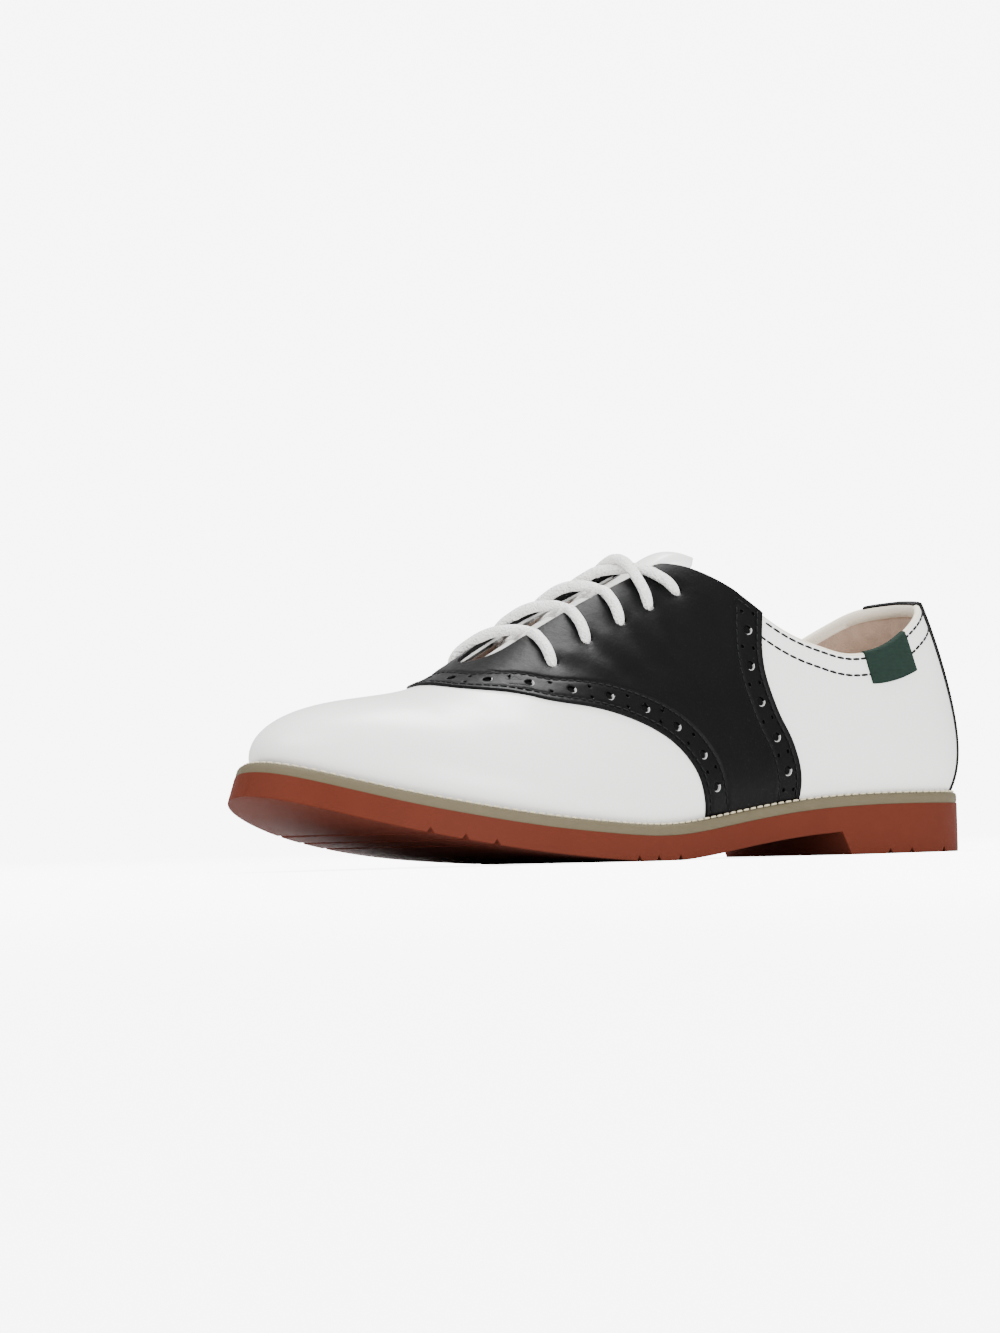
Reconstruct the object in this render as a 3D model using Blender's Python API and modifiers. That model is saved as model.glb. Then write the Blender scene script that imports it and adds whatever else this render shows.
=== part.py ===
# Saddle oxford for the left foot, standing empty on its sole.
# Metres, +Z up, floor at z = 0. The toe points to -Y and the outer (lateral) side to +X.
# A station is the distance forward from the heel's back, so y = MID - station on level ground.
# ACROSS_SHIFT centres the whole shoe's box on x = 0.

import math

import bmesh
import bpy
import numpy as np
from mathutils import Vector

# Driving sizes
LENGTH = 0.270
MID = LENGTH / 2
ACROSS_SHIFT = 0.0013
GAP = 0.0003
OVERLAY_GAP = 0.0006
UPPER_WALL = 0.0020
OVERLAY_WALL = 0.0013
TONGUE_WALL = 0.0020
TONGUE_GAP = 0.0012
TAB_WALL = 0.0010
WELT_THICK = 0.0035
SOLE_THICK = 0.0081
FOOTBED_TOP = 0.0066
LACE_RADIUS = 0.00175
EYELET_RADIUS = 0.0021

# The sole's outline in plan, from the heel's back round the lateral side to the toe and home.
# Columns: station, across
SOLE_OUTLINE = [
    (0.0000, 0.0025), (0.0035, 0.0180), (0.0130, 0.0288), (0.0320, 0.0344),
    (0.0600, 0.0347), (0.0900, 0.0340), (0.1200, 0.0366), (0.1500, 0.0420),
    (0.1780, 0.0460), (0.2020, 0.0445), (0.2240, 0.0379), (0.2440, 0.0269),
    (0.2590, 0.0135), (0.2685, -0.0020), (0.2695, -0.0130), (0.2660, -0.0240),
    (0.2570, -0.0345), (0.2430, -0.0416), (0.2230, -0.0472), (0.2010, -0.0488),
    (0.1810, -0.0473), (0.1570, -0.0398), (0.1300, -0.0307), (0.1000, -0.0270),
    (0.0700, -0.0284), (0.0400, -0.0298), (0.0140, -0.0237), (0.0035, -0.0124),
]
WELT_SHOWS_HEEL = 0.0030
WELT_SHOWS_TOE = 0.0048
WELT_SHOWS_FROM, WELT_SHOWS_TO = 0.10, 0.22

# The curved plane on which the welt lies: heel lift, arch, ball and toe spring.
# Columns: station, height
PLATE = [
    (0.000, 0.0156), (0.040, 0.0161), (0.080, 0.0146), (0.110, 0.0111), (0.140, 0.0080),
    (0.170, 0.0092), (0.195, 0.0118), (0.220, 0.0161), (0.245, 0.0224), (0.270, 0.0315),
]
HEEL_BREAST = 0.0627
BREAST_LEAN = 0.0040
BALL_FLAT = (0.137, 0.155)
SOLE_EDGE_CHAMFER = 0.0006
GROOVE_STATIONS = (0.021, 0.037, 0.0465, 0.139, 0.149, 0.158, 0.2125, 0.222, 0.232)
GROOVE_HALF_WIDTH = 0.0011
GROOVE_DEPTH = 0.0016

# The last: ribs rise from the feather line, where the upper meets the welt, to a ridge
# along the top of the foot. Ahead of the toe pole and behind the heel pole they fan out.
RIDGE_COLUMNS = ("station", "height", "across", "side_power", "top_power", "medial_side_power",
                 "medial_top_power", "lateral_bulge", "medial_bulge", "bulge_height")
RIDGE = [
    (0.048, 0.1180, 0.0020, 1.90, 2.20, 1.90, 2.20, 0.0039, 0.0039, 0.018),
    (0.070, 0.1150, 0.0010, 2.05, 2.15, 2.10, 2.15, 0.0034, 0.0026, 0.017),
    (0.090, 0.1079, 0.0000, 2.00, 2.10, 2.65, 2.60, 0.0026, 0.0014, 0.015),
    (0.105, 0.1026, -0.0010, 1.78, 1.95, 3.05, 2.95, 0.0024, 0.0010, 0.014),
    (0.120, 0.0968, -0.0015, 1.60, 1.85, 3.05, 2.95, 0.0024, 0.0006, 0.013),
    (0.132, 0.0916, -0.0020, 1.50, 1.80, 3.00, 2.90, 0.0024, 0.0006, 0.012),
    (0.146, 0.0853, -0.0030, 1.45, 1.75, 2.95, 2.85, 0.0026, 0.0008, 0.012),
    (0.160, 0.0785, -0.0035, 1.45, 1.75, 2.85, 2.75, 0.0030, 0.0014, 0.012),
    (0.172, 0.0723, -0.0040, 1.57, 1.80, 2.65, 2.60, 0.0032, 0.0020, 0.012),
    (0.184, 0.0659, -0.0050, 1.78, 1.90, 2.40, 2.40, 0.0034, 0.0024, 0.011),
    (0.196, 0.0601, -0.0060, 2.03, 2.05, 2.25, 2.25, 0.0032, 0.0024, 0.010),
    (0.208, 0.0565, -0.0075, 2.30, 2.30, 2.30, 2.30, 0.0028, 0.0020, 0.009),
    (0.220, 0.0548, -0.0090, 2.60, 2.60, 2.60, 2.60, 0.0022, 0.0016, 0.008),
    (0.228, 0.0540, -0.0100, 2.85, 2.85, 2.85, 2.85, 0.0016, 0.0016, 0.008),
]
HEEL_POLE = RIDGE[0][0]
TOE_POLE = RIDGE[-1][0]
POLE_BLEND = 0.012
CROWN = 0.35
LATERAL, MEDIAL = 0, 1

# Where the pieces end. "along" is the share of the feather line from heel to toe,
# "up" the share of a rib from the feather line to the ridge.
# Columns: along, up
COLLAR = [
    (0.000, 0.548), (0.040, 0.545), (0.080, 0.534), (0.106, 0.514), (0.142, 0.480),
    (0.170, 0.452), (0.200, 0.430), (0.223, 0.424), (0.246, 0.431), (0.270, 0.456),
    (0.305, 0.511), (0.338, 0.600), (0.368, 0.709), (0.392, 0.789), (0.415, 0.857),
    (0.436, 0.904), (0.455, 0.940), (0.480, 1.000),
]
THROAT_HALF_WIDTH = 0.0080
THROAT_HALF_MEDIAL = 0.0095
THROAT_FROM = 0.098
THROAT_ROUND = 0.178
THROAT_END = 0.1885
THROAT_LOW, THROAT_HIGH = 0.040, 0.125
# Columns of the three edges below: up, along
SADDLE_REAR = [
    (0.00, 0.318), (0.09, 0.320), (0.15, 0.325), (0.21, 0.332), (0.27, 0.341),
    (0.34, 0.348), (0.40, 0.352), (0.50, 0.351), (0.60, 0.342), (0.70, 0.333),
]
SADDLE_FRONT = [
    (0.00, 0.453), (0.09, 0.459), (0.15, 0.465), (0.22, 0.478), (0.29, 0.498),
    (0.36, 0.529), (0.42, 0.564), (0.47, 0.599), (0.51, 0.631), (0.60, 0.671),
    (0.71, 0.707), (0.80, 0.726), (0.90, 0.733), (1.00, 0.735),
]
BACK_STRIP = [(0.0, 0.052), (0.25, 0.055), (0.55, 0.058)]
TAB_TOP_ALONG = (0.148, 0.216)
TAB_LOW_ALONG = (0.144, 0.212)
TAB_DROPS = (0.0133, 0.0103)
TAB_FOLD = 0.0060
BACK_FOLD = 0.0025
OVERLAY_FOOT = 0.014
# Columns: along, distance from the ridge on the lateral side. The medial row lies further
# forward and nearer to the ridge, on the flat medial shoulder of the instep.
MEDIAL_AHEAD = 0.036
MEDIAL_IN = 0.0050
EYELETS = [(0.619, 0.0243), (0.565, 0.0221), (0.515, 0.0215), (0.474, 0.0211), (0.435, 0.0209)]
# Columns: station, half width
TONGUE = [
    (0.1000, 0.0045), (0.1012, 0.0085), (0.1040, 0.0122), (0.1090, 0.0152), (0.1160, 0.0168),
    (0.1250, 0.0174),
    (0.1400, 0.0165), (0.1550, 0.0155), (0.1700, 0.0145), (0.1850, 0.0130), (0.1960, 0.0115),
]

# The tongue's top bends down into the opening behind this station.
DROOP_FROM, DROOP_FULL, TONGUE_DROOP = 0.1120, 0.1000, 0.0038

# Mesh density
OUTLINE_POINTS = 720
SOLE_STATIONS = 34
WELT_POINTS = 88
WALL_RIBS = 45
WALL_ROWS = 12
RIB_CROWDING = 0.055
ROW_CROWDING = 1.15
SADDLE_ACROSS = 16
SADDLE_ROWS = 16
RIB_TABLE_ALONG, RIB_TABLE_UP, RIB_SAMPLES = 81, 65, 400
TONGUE_ACROSS = 6
TONGUE_ROUND_ROWS = 3
LACE_POINTS = 8
BACK_STRIP_ROWS, BACK_STRIP_ACROSS = 9, 4
TAB_ACROSS, TAB_ROWS = 5, 4
CORNER_POINTS = 7
EYELET_SEGMENTS = 10
PUNCH_DEPTH = 0.012
SETTLE_ROUNDS = 60
SHARP_ANGLE = 40
WELD = 0.0003

MATERIALS = {
    "rubber_brick": ((0.240, 0.060, 0.038, 1.0), 0.55),
    "welt_khaki": ((0.300, 0.255, 0.155, 1.0), 0.70),
    "leather_white": ((0.800, 0.800, 0.770, 1.0), 0.35),
    "leather_black": ((0.012, 0.012, 0.013, 1.0), 0.38),
    "footbed_tan": ((0.500, 0.370, 0.250, 1.0), 0.80),
    "lace_white": ((0.820, 0.820, 0.800, 1.0), 0.85),
    "tab_green": ((0.018, 0.042, 0.034, 1.0), 0.85),
}


def clear_scene():
    for old in list(bpy.data.objects):
        bpy.data.objects.remove(old, do_unlink=True)


def new_collection(name):
    collection = bpy.data.collections.new(name)
    bpy.context.scene.collection.children.link(collection)
    return collection


def make_material(name):
    colour, roughness = MATERIALS[name]
    material = bpy.data.materials.new(name)
    material.use_nodes = True
    shader = material.node_tree.nodes["Principled BSDF"]
    shader.inputs["Base Color"].default_value = colour
    shader.inputs["Roughness"].default_value = roughness
    shader.inputs["Metallic"].default_value = 0.0
    return material


def spline(knots, values):
    # Natural cubic spline through a short table, carried on past its ends
    x = np.asarray(knots, float)
    y = np.asarray(values, float)
    count = len(x)
    step = np.diff(x)
    matrix = np.eye(count)
    right = np.zeros(count)
    for i in range(1, count - 1):
        matrix[i, i - 1:i + 2] = step[i - 1], 2 * (step[i - 1] + step[i]), step[i]
        right[i] = 6 * ((y[i + 1] - y[i]) / step[i] - (y[i] - y[i - 1]) / step[i - 1])
    bend = np.linalg.solve(matrix, right)

    def value(at):
        at = np.asarray(at, float)
        i = np.clip(np.searchsorted(x, at) - 1, 0, count - 2)
        before, after, width = at - x[i], x[i + 1] - at, step[i]
        cubic = (bend[i] * after**3 + bend[i + 1] * before**3) / (6 * width)
        low = (y[i] / width - bend[i] * width / 6) * after
        high = (y[i + 1] / width - bend[i + 1] * width / 6) * before
        return cubic + low + high

    return value


def table_spline(table, column=1):
    return spline([row[0] for row in table], [row[column] for row in table])


plate_height = table_spline(PLATE)
RIDGE_CURVES = {name: table_spline(RIDGE, i) for i, name in enumerate(RIDGE_COLUMNS)}
SMALL = 0.0005


def plate_slope(station):
    return (plate_height(station + SMALL) - plate_height(station - SMALL)) / (2 * SMALL)


def on_plate(station, across, rise):
    # A point at a height square to the curved plate
    tilt = np.arctan(plate_slope(station))
    y = MID - (station - rise * np.sin(tilt))
    x = across + ACROSS_SHIFT + 0 * station
    return np.stack([x, y, plate_height(station) + rise * np.cos(tilt)], -1)


def closed_curve(table, count):
    points = np.array(table)
    wrap = 5
    ring = np.vstack([points[-wrap:], points, points[:wrap + 1]])
    run = np.r_[0, np.cumsum(np.hypot(*np.diff(ring, axis=0).T))]
    at = np.linspace(run[wrap], run[wrap + len(points)], count + 1)[:-1]
    return np.stack([spline(run, ring[:, 0])(at), spline(run, ring[:, 1])(at)], -1)


def inset(curve, depth):
    along = np.roll(curve, -1, 0) - np.roll(curve, 1, 0)
    along /= np.linalg.norm(along, axis=1)[:, None]
    inward = np.stack([along[:, 1], -along[:, 0]], -1)
    if ((curve.mean(0) - curve) * inward).sum() < 0:
        inward = -inward
    return curve + inward * np.reshape(depth, (-1, 1))


def half_curves(curve, knots=60):
    # Lateral and medial halves, each from the heel's back to the toe's tip
    ring = np.roll(curve, -int(np.argmin(curve[:, 0])), axis=0)
    tip = int(np.argmax(ring[:, 0]))
    halves = [ring[:tip + 1], np.vstack([ring[tip:], ring[:1]])[::-1]]
    result = []
    for half in halves:
        run = np.r_[0, np.cumsum(np.hypot(*np.diff(half, axis=0).T))]
        run /= run[-1]
        pick = np.linspace(0, len(half) - 1, knots).astype(int)
        result.append((spline(run[pick], half[pick, 0]), spline(run[pick], half[pick, 1])))
    return result


SOLE_CURVE = closed_curve(SOLE_OUTLINE, OUTLINE_POINTS)
WELT_SHOWS = np.interp(SOLE_CURVE[:, 0], (WELT_SHOWS_FROM, WELT_SHOWS_TO),
                       (WELT_SHOWS_HEEL, WELT_SHOWS_TOE))
FEATHER = inset(SOLE_CURVE, WELT_SHOWS)
FEATHER_HALVES = half_curves(FEATHER)


def soft_between(value, low, high):
    raised = low + POLE_BLEND * np.log1p(np.exp((value - low) / POLE_BLEND))
    return high - POLE_BLEND * np.log1p(np.exp((high - raised) / POLE_BLEND))


def ridge_station(along):
    def raw(share):
        mean = (FEATHER_HALVES[0][0](share) + FEATHER_HALVES[1][0](share)) / 2
        return soft_between(mean, HEEL_POLE, TOE_POLE)
    first, last = raw(0.0), raw(1.0)
    return HEEL_POLE + (raw(along) - first) * (TOE_POLE - HEEL_POLE) / (last - first)


def ridge_slope(station, level_run=0.03):
    height = RIDGE_CURVES["height"]
    slope = (height(station + SMALL) - height(station - SMALL)) / (2 * SMALL)
    return slope * np.clip((station - HEEL_POLE) / level_run, 0, 1)


def rib_point(side, along, turn):
    # turn runs from 0 at the feather line to a quarter turn at the ridge
    station = ridge_station(along)
    form = {name: curve(station) for name, curve in RIDGE_CURVES.items()}
    foot_station, foot_across = FEATHER_HALVES[side]
    foot = on_plate(foot_station(along), foot_across(along), WELT_THICK + GAP)
    top = np.stack([form["across"] + ACROSS_SHIFT, MID - station, form["height"]], -1)
    side_power = form["medial_side_power"] if side == MEDIAL else form["side_power"]
    top_power = form["medial_top_power"] if side == MEDIAL else form["top_power"]
    out_share = np.clip(np.cos(turn), 0, 1) ** (2 / side_power)
    half_power = side_power / 2
    crown = CROWN ** side_power
    fall = ((out_share**2 + CROWN**2) ** half_power - crown) / ((1 + CROWN**2) ** half_power - crown)
    up_share = np.clip(1 - fall, 0, 1) ** (1 / top_power)
    flat = top[..., :2] + (foot - top)[..., :2] * out_share[..., None]
    roof = top[..., 2] - ridge_slope(station) * (flat[..., 1] - top[..., 1])
    height = foot[..., 2] + up_share * (roof - foot[..., 2])
    outward = (foot - top)[..., :2]
    outward = outward / np.linalg.norm(outward, axis=-1)[..., None]
    rise = (height - foot[..., 2]) / form["bulge_height"]
    bulge = form["medial_bulge"] if side == MEDIAL else form["lateral_bulge"]
    swell = bulge * rise * np.exp(1 - rise) * np.sqrt(np.clip(fall, 0, 1))
    flat = flat + outward * swell[..., None]
    return np.concatenate([flat, height[..., None]], -1)


def rib_tables():
    # Turns at equal steps of length up each rib, and each rib's length
    turns, lengths = [], []
    ease = np.linspace(0, 1, RIB_SAMPLES)
    sample = ease**2 * (3 - 2 * ease) * math.pi / 2
    for side in (LATERAL, MEDIAL):
        side_turns, side_lengths = [], []
        for along in np.linspace(0, 1, RIB_TABLE_ALONG):
            rib = rib_point(side, np.full(RIB_SAMPLES, along), sample)
            run = np.r_[0, np.cumsum(np.linalg.norm(np.diff(rib, axis=0), axis=1))]
            side_turns.append(np.interp(np.linspace(0, run[-1], RIB_TABLE_UP), run, sample))
            side_lengths.append(run[-1])
        turns.append(np.array(side_turns))
        lengths.append(np.array(side_lengths))
    return turns, lengths


RIB_TURNS, RIB_LENGTHS = rib_tables()


def rib_length(side, along):
    return np.interp(along, np.linspace(0, 1, RIB_TABLE_ALONG), RIB_LENGTHS[side])


def last_point(side, along, up):
    along, up = np.broadcast_arrays(np.asarray(along, float), np.asarray(up, float))
    i = np.clip(along, 0, 1) * (RIB_TABLE_ALONG - 1)
    j = np.clip(up, 0, 1) * (RIB_TABLE_UP - 1)
    i0 = np.minimum(i.astype(int), RIB_TABLE_ALONG - 2)
    j0 = np.minimum(j.astype(int), RIB_TABLE_UP - 2)
    fi, fj = i - i0, j - j0
    table = RIB_TURNS[side]
    turn = ((1 - fi) * ((1 - fj) * table[i0, j0] + fj * table[i0, j0 + 1])
            + fi * ((1 - fj) * table[i0 + 1, j0] + fj * table[i0 + 1, j0 + 1]))
    return rib_point(side, along, turn)


def last_normal(side, along, up, step=0.001):
    along, up = np.broadcast_arrays(np.asarray(along, float), np.asarray(up, float))
    ahead = last_point(side, np.clip(along + step, 0, 1), up)
    behind = last_point(side, np.clip(along - step, 0, 1), up)
    above = last_point(side, along, np.clip(up + step, 0, 1))
    below = last_point(side, along, np.clip(up - step, 0, 1))
    normal = np.cross(above - below, ahead - behind)
    if side == MEDIAL:
        normal = -normal
    slope = ridge_slope(ridge_station(along))
    roof = np.stack([0 * slope, slope, 1 + 0 * slope], -1)
    at_ridge = up > 1 - step
    normal = np.where(at_ridge[..., None], roof, normal)
    return normal / np.linalg.norm(normal, axis=-1)[..., None]


def offset_point(side, along, up, off):
    return last_point(side, along, up) + off * last_normal(side, along, up)


collar_up = table_spline(COLLAR)
saddle_rear = table_spline(SADDLE_REAR)
saddle_front = table_spline(SADDLE_FRONT)
back_strip_half = table_spline(BACK_STRIP)


def top_edge(along):
    # The collar and the quarter's top behind, the ridge ahead, where the throat is cut out
    along = np.asarray(along, float)
    return np.where(along < COLLAR[-1][0], np.minimum(collar_up(along), 1.0), 1.0)


def sheet_faces(shape, flip):
    rows, columns = shape
    faces = []
    for i in range(rows - 1):
        for j in range(columns - 1):
            quad = [i * columns + j, (i + 1) * columns + j,
                    (i + 1) * columns + j + 1, i * columns + j + 1]
            faces.append(quad[::-1] if flip else quad)
    return faces


def mesh_object(name, bm, material, collection, smooth=True):
    mesh = bpy.data.meshes.new(name)
    bm.to_mesh(mesh)
    bm.free()
    mesh.materials.append(material)
    if smooth:
        mesh.shade_smooth()
        mesh.set_sharp_from_angle(angle=math.radians(SHARP_ANGLE))
    thing = bpy.data.objects.new(name, mesh)
    collection.objects.link(thing)
    return thing


def shell_object(name, patches, wall, outward, material, collection):
    # patches are grids of points with a flip flag; where two touch they are welded
    bm = bmesh.new()
    for grid, flip in patches:
        points = grid.reshape(-1, 3)
        made = [bm.verts.new(point) for point in points]
        for face in sheet_faces(grid.shape[:2], flip):
            bm.faces.new([made[k] for k in face])
    bmesh.ops.remove_doubles(bm, verts=bm.verts, dist=WELD)
    bmesh.ops.dissolve_degenerate(bm, edges=bm.edges, dist=WELD / 3)
    thing = mesh_object(name, bm, material, collection)
    solid = thing.modifiers.new("wall", "SOLIDIFY")
    solid.thickness = wall
    solid.offset = 1.0 if outward else -1.0
    solid.use_rim = True
    return thing


def loft_object(name, sections, material, collection, closed=False):
    # sections are rings of points, joined in turn, capped unless the loft closes on itself
    bm = bmesh.new()
    rings = [[bm.verts.new(point) for point in section] for section in sections]
    pairs = list(zip(rings, rings[1:]))
    if closed:
        pairs.append((rings[-1], rings[0]))
    for first, second in pairs:
        count = len(first)
        for k in range(count):
            bm.faces.new([first[k], second[k], second[(k + 1) % count], first[(k + 1) % count]])
    if not closed:
        bm.faces.new(rings[0])
        bm.faces.new(rings[-1][::-1])
    bmesh.ops.recalc_face_normals(bm, faces=bm.faces)
    return mesh_object(name, bm, material, collection)


def half_widths(curve, stations):
    # Where the outline crosses each station, on the lateral and on the medial side
    result = []
    for along_curve, across_curve in half_curves(curve):
        share = np.linspace(0, 1, OUTLINE_POINTS)
        result.append(np.interp(stations, along_curve(share), across_curve(share)))
    return result


def sole_stations(curve, extra=()):
    first, last = curve[:, 0].min() + SMALL / 2, curve[:, 0].max() - SMALL / 2
    ease = (1 - np.cos(np.linspace(0, math.pi, SOLE_STATIONS))) / 2
    even = first + (last - first) * ease
    extra = np.array(extra)
    if len(extra):
        near = np.abs(even[:, None] - extra[None, :]).min(axis=1)
        even = even[near > GROOVE_HALF_WIDTH]
    return np.sort(np.r_[even, extra])


def sole_bottom(station):
    # Flat under the ball, bent with the plate elsewhere
    deep = on_plate(station, 0.0, -SOLE_THICK)
    flat = (station >= BALL_FLAT[0]) & (station <= BALL_FLAT[1])
    return deep[..., 1], np.where(flat, 0.0, np.maximum(deep[..., 2], 0.0))


def groove_depth(station):
    depth = 0.0
    for middle in GROOVE_STATIONS:
        depth = max(depth, GROOVE_DEPTH * (1 - abs(station - middle) / GROOVE_HALF_WIDTH))
    return max(depth, 0.0)


def sole_section(station, lateral, medial, heel):
    top = on_plate(np.array(station), 0.0, 0.0)
    if heel:
        low_y, low_z = top[1], 0.0
    else:
        low_y, low_z = (float(value) for value in sole_bottom(np.array(station)))
    low_z += groove_depth(station)
    share = SOLE_EDGE_CHAMFER / (top[2] - low_z)
    ring = []
    for across, inward in ((lateral + ACROSS_SHIFT, -1), (medial + ACROSS_SHIFT, 1)):
        side = [(across + inward * SOLE_EDGE_CHAMFER, low_y, low_z),
                (across, low_y + (top[1] - low_y) * share, low_z + SOLE_EDGE_CHAMFER),
                (across, top[1], top[2])]
        ring += side if inward < 0 else side[::-1]
    return ring


def make_outsole(material, collection):
    edges = [middle + step for middle in GROOVE_STATIONS
             for step in (-GROOVE_HALF_WIDTH, 0.0, GROOVE_HALF_WIDTH)]
    breast_top = HEEL_BREAST + BREAST_LEAN
    stations = sole_stations(SOLE_CURVE, edges + [HEEL_BREAST, breast_top, *BALL_FLAT])
    stations = stations[(stations <= HEEL_BREAST) | (stations >= breast_top)]
    lateral, medial = half_widths(SOLE_CURVE, stations)
    sections = [sole_section(station, lateral[i], medial[i], station <= HEEL_BREAST)
                for i, station in enumerate(stations)]
    return loft_object("outsole", sections, material, collection)


def make_welt(material, collection):
    pick = np.linspace(0, OUTLINE_POINTS, WELT_POINTS, endpoint=False).astype(int)
    outer = inset(SOLE_CURVE, SMALL / 2)[pick]
    inner = inset(FEATHER, UPPER_WALL)[pick]
    edge = SMALL
    sections = []
    for out_point, in_point in zip(outer, inner):
        towards = (in_point - out_point) / np.linalg.norm(in_point - out_point)
        eased = out_point + towards * edge
        ring = [(out_point, GAP), (out_point, WELT_THICK - edge), (eased, WELT_THICK),
                (in_point, WELT_THICK), (in_point, GAP)]
        sections.append([on_plate(plan[0], plan[1], rise) for plan, rise in ring])
    return loft_object("welt", sections, material, collection, closed=True)


def make_insole(material, collection):
    outline = inset(FEATHER, UPPER_WALL + SMALL)
    stations = sole_stations(outline)
    lateral, medial = half_widths(outline, stations)
    sections = []
    for i, station in enumerate(stations):
        corners = [(lateral[i], GAP), (lateral[i], FOOTBED_TOP - SMALL),
                   (lateral[i] - SMALL, FOOTBED_TOP), (medial[i] + SMALL, FOOTBED_TOP),
                   (medial[i], FOOTBED_TOP - SMALL), (medial[i], GAP)]
        sections.append([on_plate(np.array(station), across, rise) for across, rise in corners])
    return loft_object("insole", sections, material, collection)


def wall_ribs():
    # Closer ribs round the heel and the toe
    even = np.linspace(0, 1, WALL_RIBS)
    return even - RIB_CROWDING * np.sin(2 * math.pi * even)


def make_upper(material, collection):
    patches = []
    along = wall_ribs()[:, None]
    share = np.linspace(0, 1, WALL_ROWS)[None, :]
    for side in (LATERAL, MEDIAL):
        grid = last_point(side, along, share * top_edge(along))
        patches.append((grid, side == LATERAL))
    return shell_object("upper", patches, UPPER_WALL, False, material, collection)


def edged_grid(side, rear, front, across_count, row_count, first_up):
    # A grid between a rear and a front edge, from near the feather line to the top edge
    spread = np.linspace(0, 1, across_count)[:, None]
    share = 1 - np.linspace(1, 0, row_count)[None, :] ** ROW_CROWDING
    up = share + 0 * spread
    for _ in range(SETTLE_ROUNDS):
        along = (1 - spread) * rear(up) + spread * front(up)
        wanted = first_up + share * (top_edge(along) - first_up)
        up = (up + wanted) / 2
    return along, up


def make_saddle(material, collection):
    patches = []
    for side in (LATERAL, MEDIAL):
        along, up = edged_grid(side, saddle_rear, saddle_front,
                               SADDLE_ACROSS, SADDLE_ROWS, OVERLAY_FOOT)
        patches.append((offset_point(side, along, up, OVERLAY_GAP), side == LATERAL))
    return shell_object("saddle", patches, OVERLAY_WALL, True, material, collection)


def fold_over(side, along, top, inside_drop):
    # From the wall's outside over its top edge and down inside it
    rim = last_point(side, along, top)
    normal = last_normal(side, along, top)
    lift = last_point(side, along, top) - last_point(side, along, top - 0.01)
    lift = lift / np.linalg.norm(lift)
    inner_off = -(UPPER_WALL + 2 * GAP)
    over = [rim + normal * OVERLAY_GAP + lift * 2 * GAP, rim + normal * inner_off + lift * 2 * GAP]
    inside = [rim + normal * inner_off - lift * inside_drop * part for part in (0.5, 1.0)]
    return over + inside


def make_back_strip(material, collection):
    ups = np.linspace(OVERLAY_FOOT, 1.0, BACK_STRIP_ROWS)
    widest_at_top = BACK_STRIP[-1][1]
    patches = []
    for side in (LATERAL, MEDIAL):
        columns = []
        for part in np.linspace(0, 1, BACK_STRIP_ACROSS):
            top = float(top_edge(part * widest_at_top))
            rows = ups * top
            strip = [part * float(back_strip_half(up)) for up in rows]
            profile = [offset_point(side, along, up, OVERLAY_GAP) for along, up in zip(strip, rows)]
            profile += fold_over(side, strip[-1], top, BACK_FOLD)
            columns.append(profile)
        patches.append((np.array(columns), side == LATERAL))
    return shell_object("back_strip", patches, OVERLAY_WALL, True, material, collection)


def make_collar_tab(material, collection):
    columns = []
    for part in np.linspace(0, 1, TAB_ACROSS):
        top_along = TAB_TOP_ALONG[0] + part * (TAB_TOP_ALONG[1] - TAB_TOP_ALONG[0])
        low_along = TAB_LOW_ALONG[0] + part * (TAB_LOW_ALONG[1] - TAB_LOW_ALONG[0])
        top = float(top_edge(top_along))
        drop = TAB_DROPS[0] + part * (TAB_DROPS[1] - TAB_DROPS[0])
        low = float(top_edge(low_along)) - drop / float(rib_length(LATERAL, low_along))
        profile = []
        for share in np.linspace(0, 1, TAB_ROWS):
            along = low_along + share * (top_along - low_along)
            profile.append(offset_point(LATERAL, along, low + share * (top - low), OVERLAY_GAP))
        profile += fold_over(LATERAL, top_along, top, TAB_FOLD)
        columns.append(profile)
    return shell_object("collar_tab", [(np.array(columns), True)], TAB_WALL, True,
                        material, collection)


def along_at_ridge(station):
    share = np.linspace(0, 1, OUTLINE_POINTS)
    return np.interp(station, ridge_station(share), share)


def make_tongue(material, collection):
    half_width = table_spline(TONGUE)
    stations = np.array([row[0] for row in TONGUE])
    long_steps = stations[TONGUE_ROUND_ROWS:]
    stations = np.sort(np.r_[stations, (long_steps[:-1] + long_steps[1:]) / 2])
    along = along_at_ridge(stations)[:, None]
    patches = []
    for side in (LATERAL, MEDIAL):
        away = np.linspace(0, 1, TONGUE_ACROSS)[None, :] * half_width(stations)[:, None]
        up = 1 - away / rib_length(side, along)
        bent = np.clip((DROOP_FROM - stations) / (DROOP_FROM - DROOP_FULL), 0, 1)[:, None] ** 2
        grid = offset_point(side, along, up, -(UPPER_WALL + TONGUE_GAP))
        grid[..., 2] -= TONGUE_DROOP * bent
        patches.append((grid, side == MEDIAL))
    return shell_object("tongue", patches, TONGUE_WALL, False, material, collection)


def eyelet_at(side, number):
    along, from_ridge = EYELETS[number]
    if side == MEDIAL:
        return along + MEDIAL_AHEAD, from_ridge - MEDIAL_IN
    return along, from_ridge


def eyelet_place(side, number):
    along, from_ridge = eyelet_at(side, number)
    up = 1 - from_ridge / rib_length(side, along)
    return float(along), float(up)


def hide_cutter(name, bm, collection):
    mesh = bpy.data.meshes.new(name)
    bm.to_mesh(mesh)
    bm.free()
    cutter = bpy.data.objects.new(name, mesh)
    collection.objects.link(cutter)
    cutter.hide_render = True
    cutter.display_type = "WIRE"
    return cutter


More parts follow.
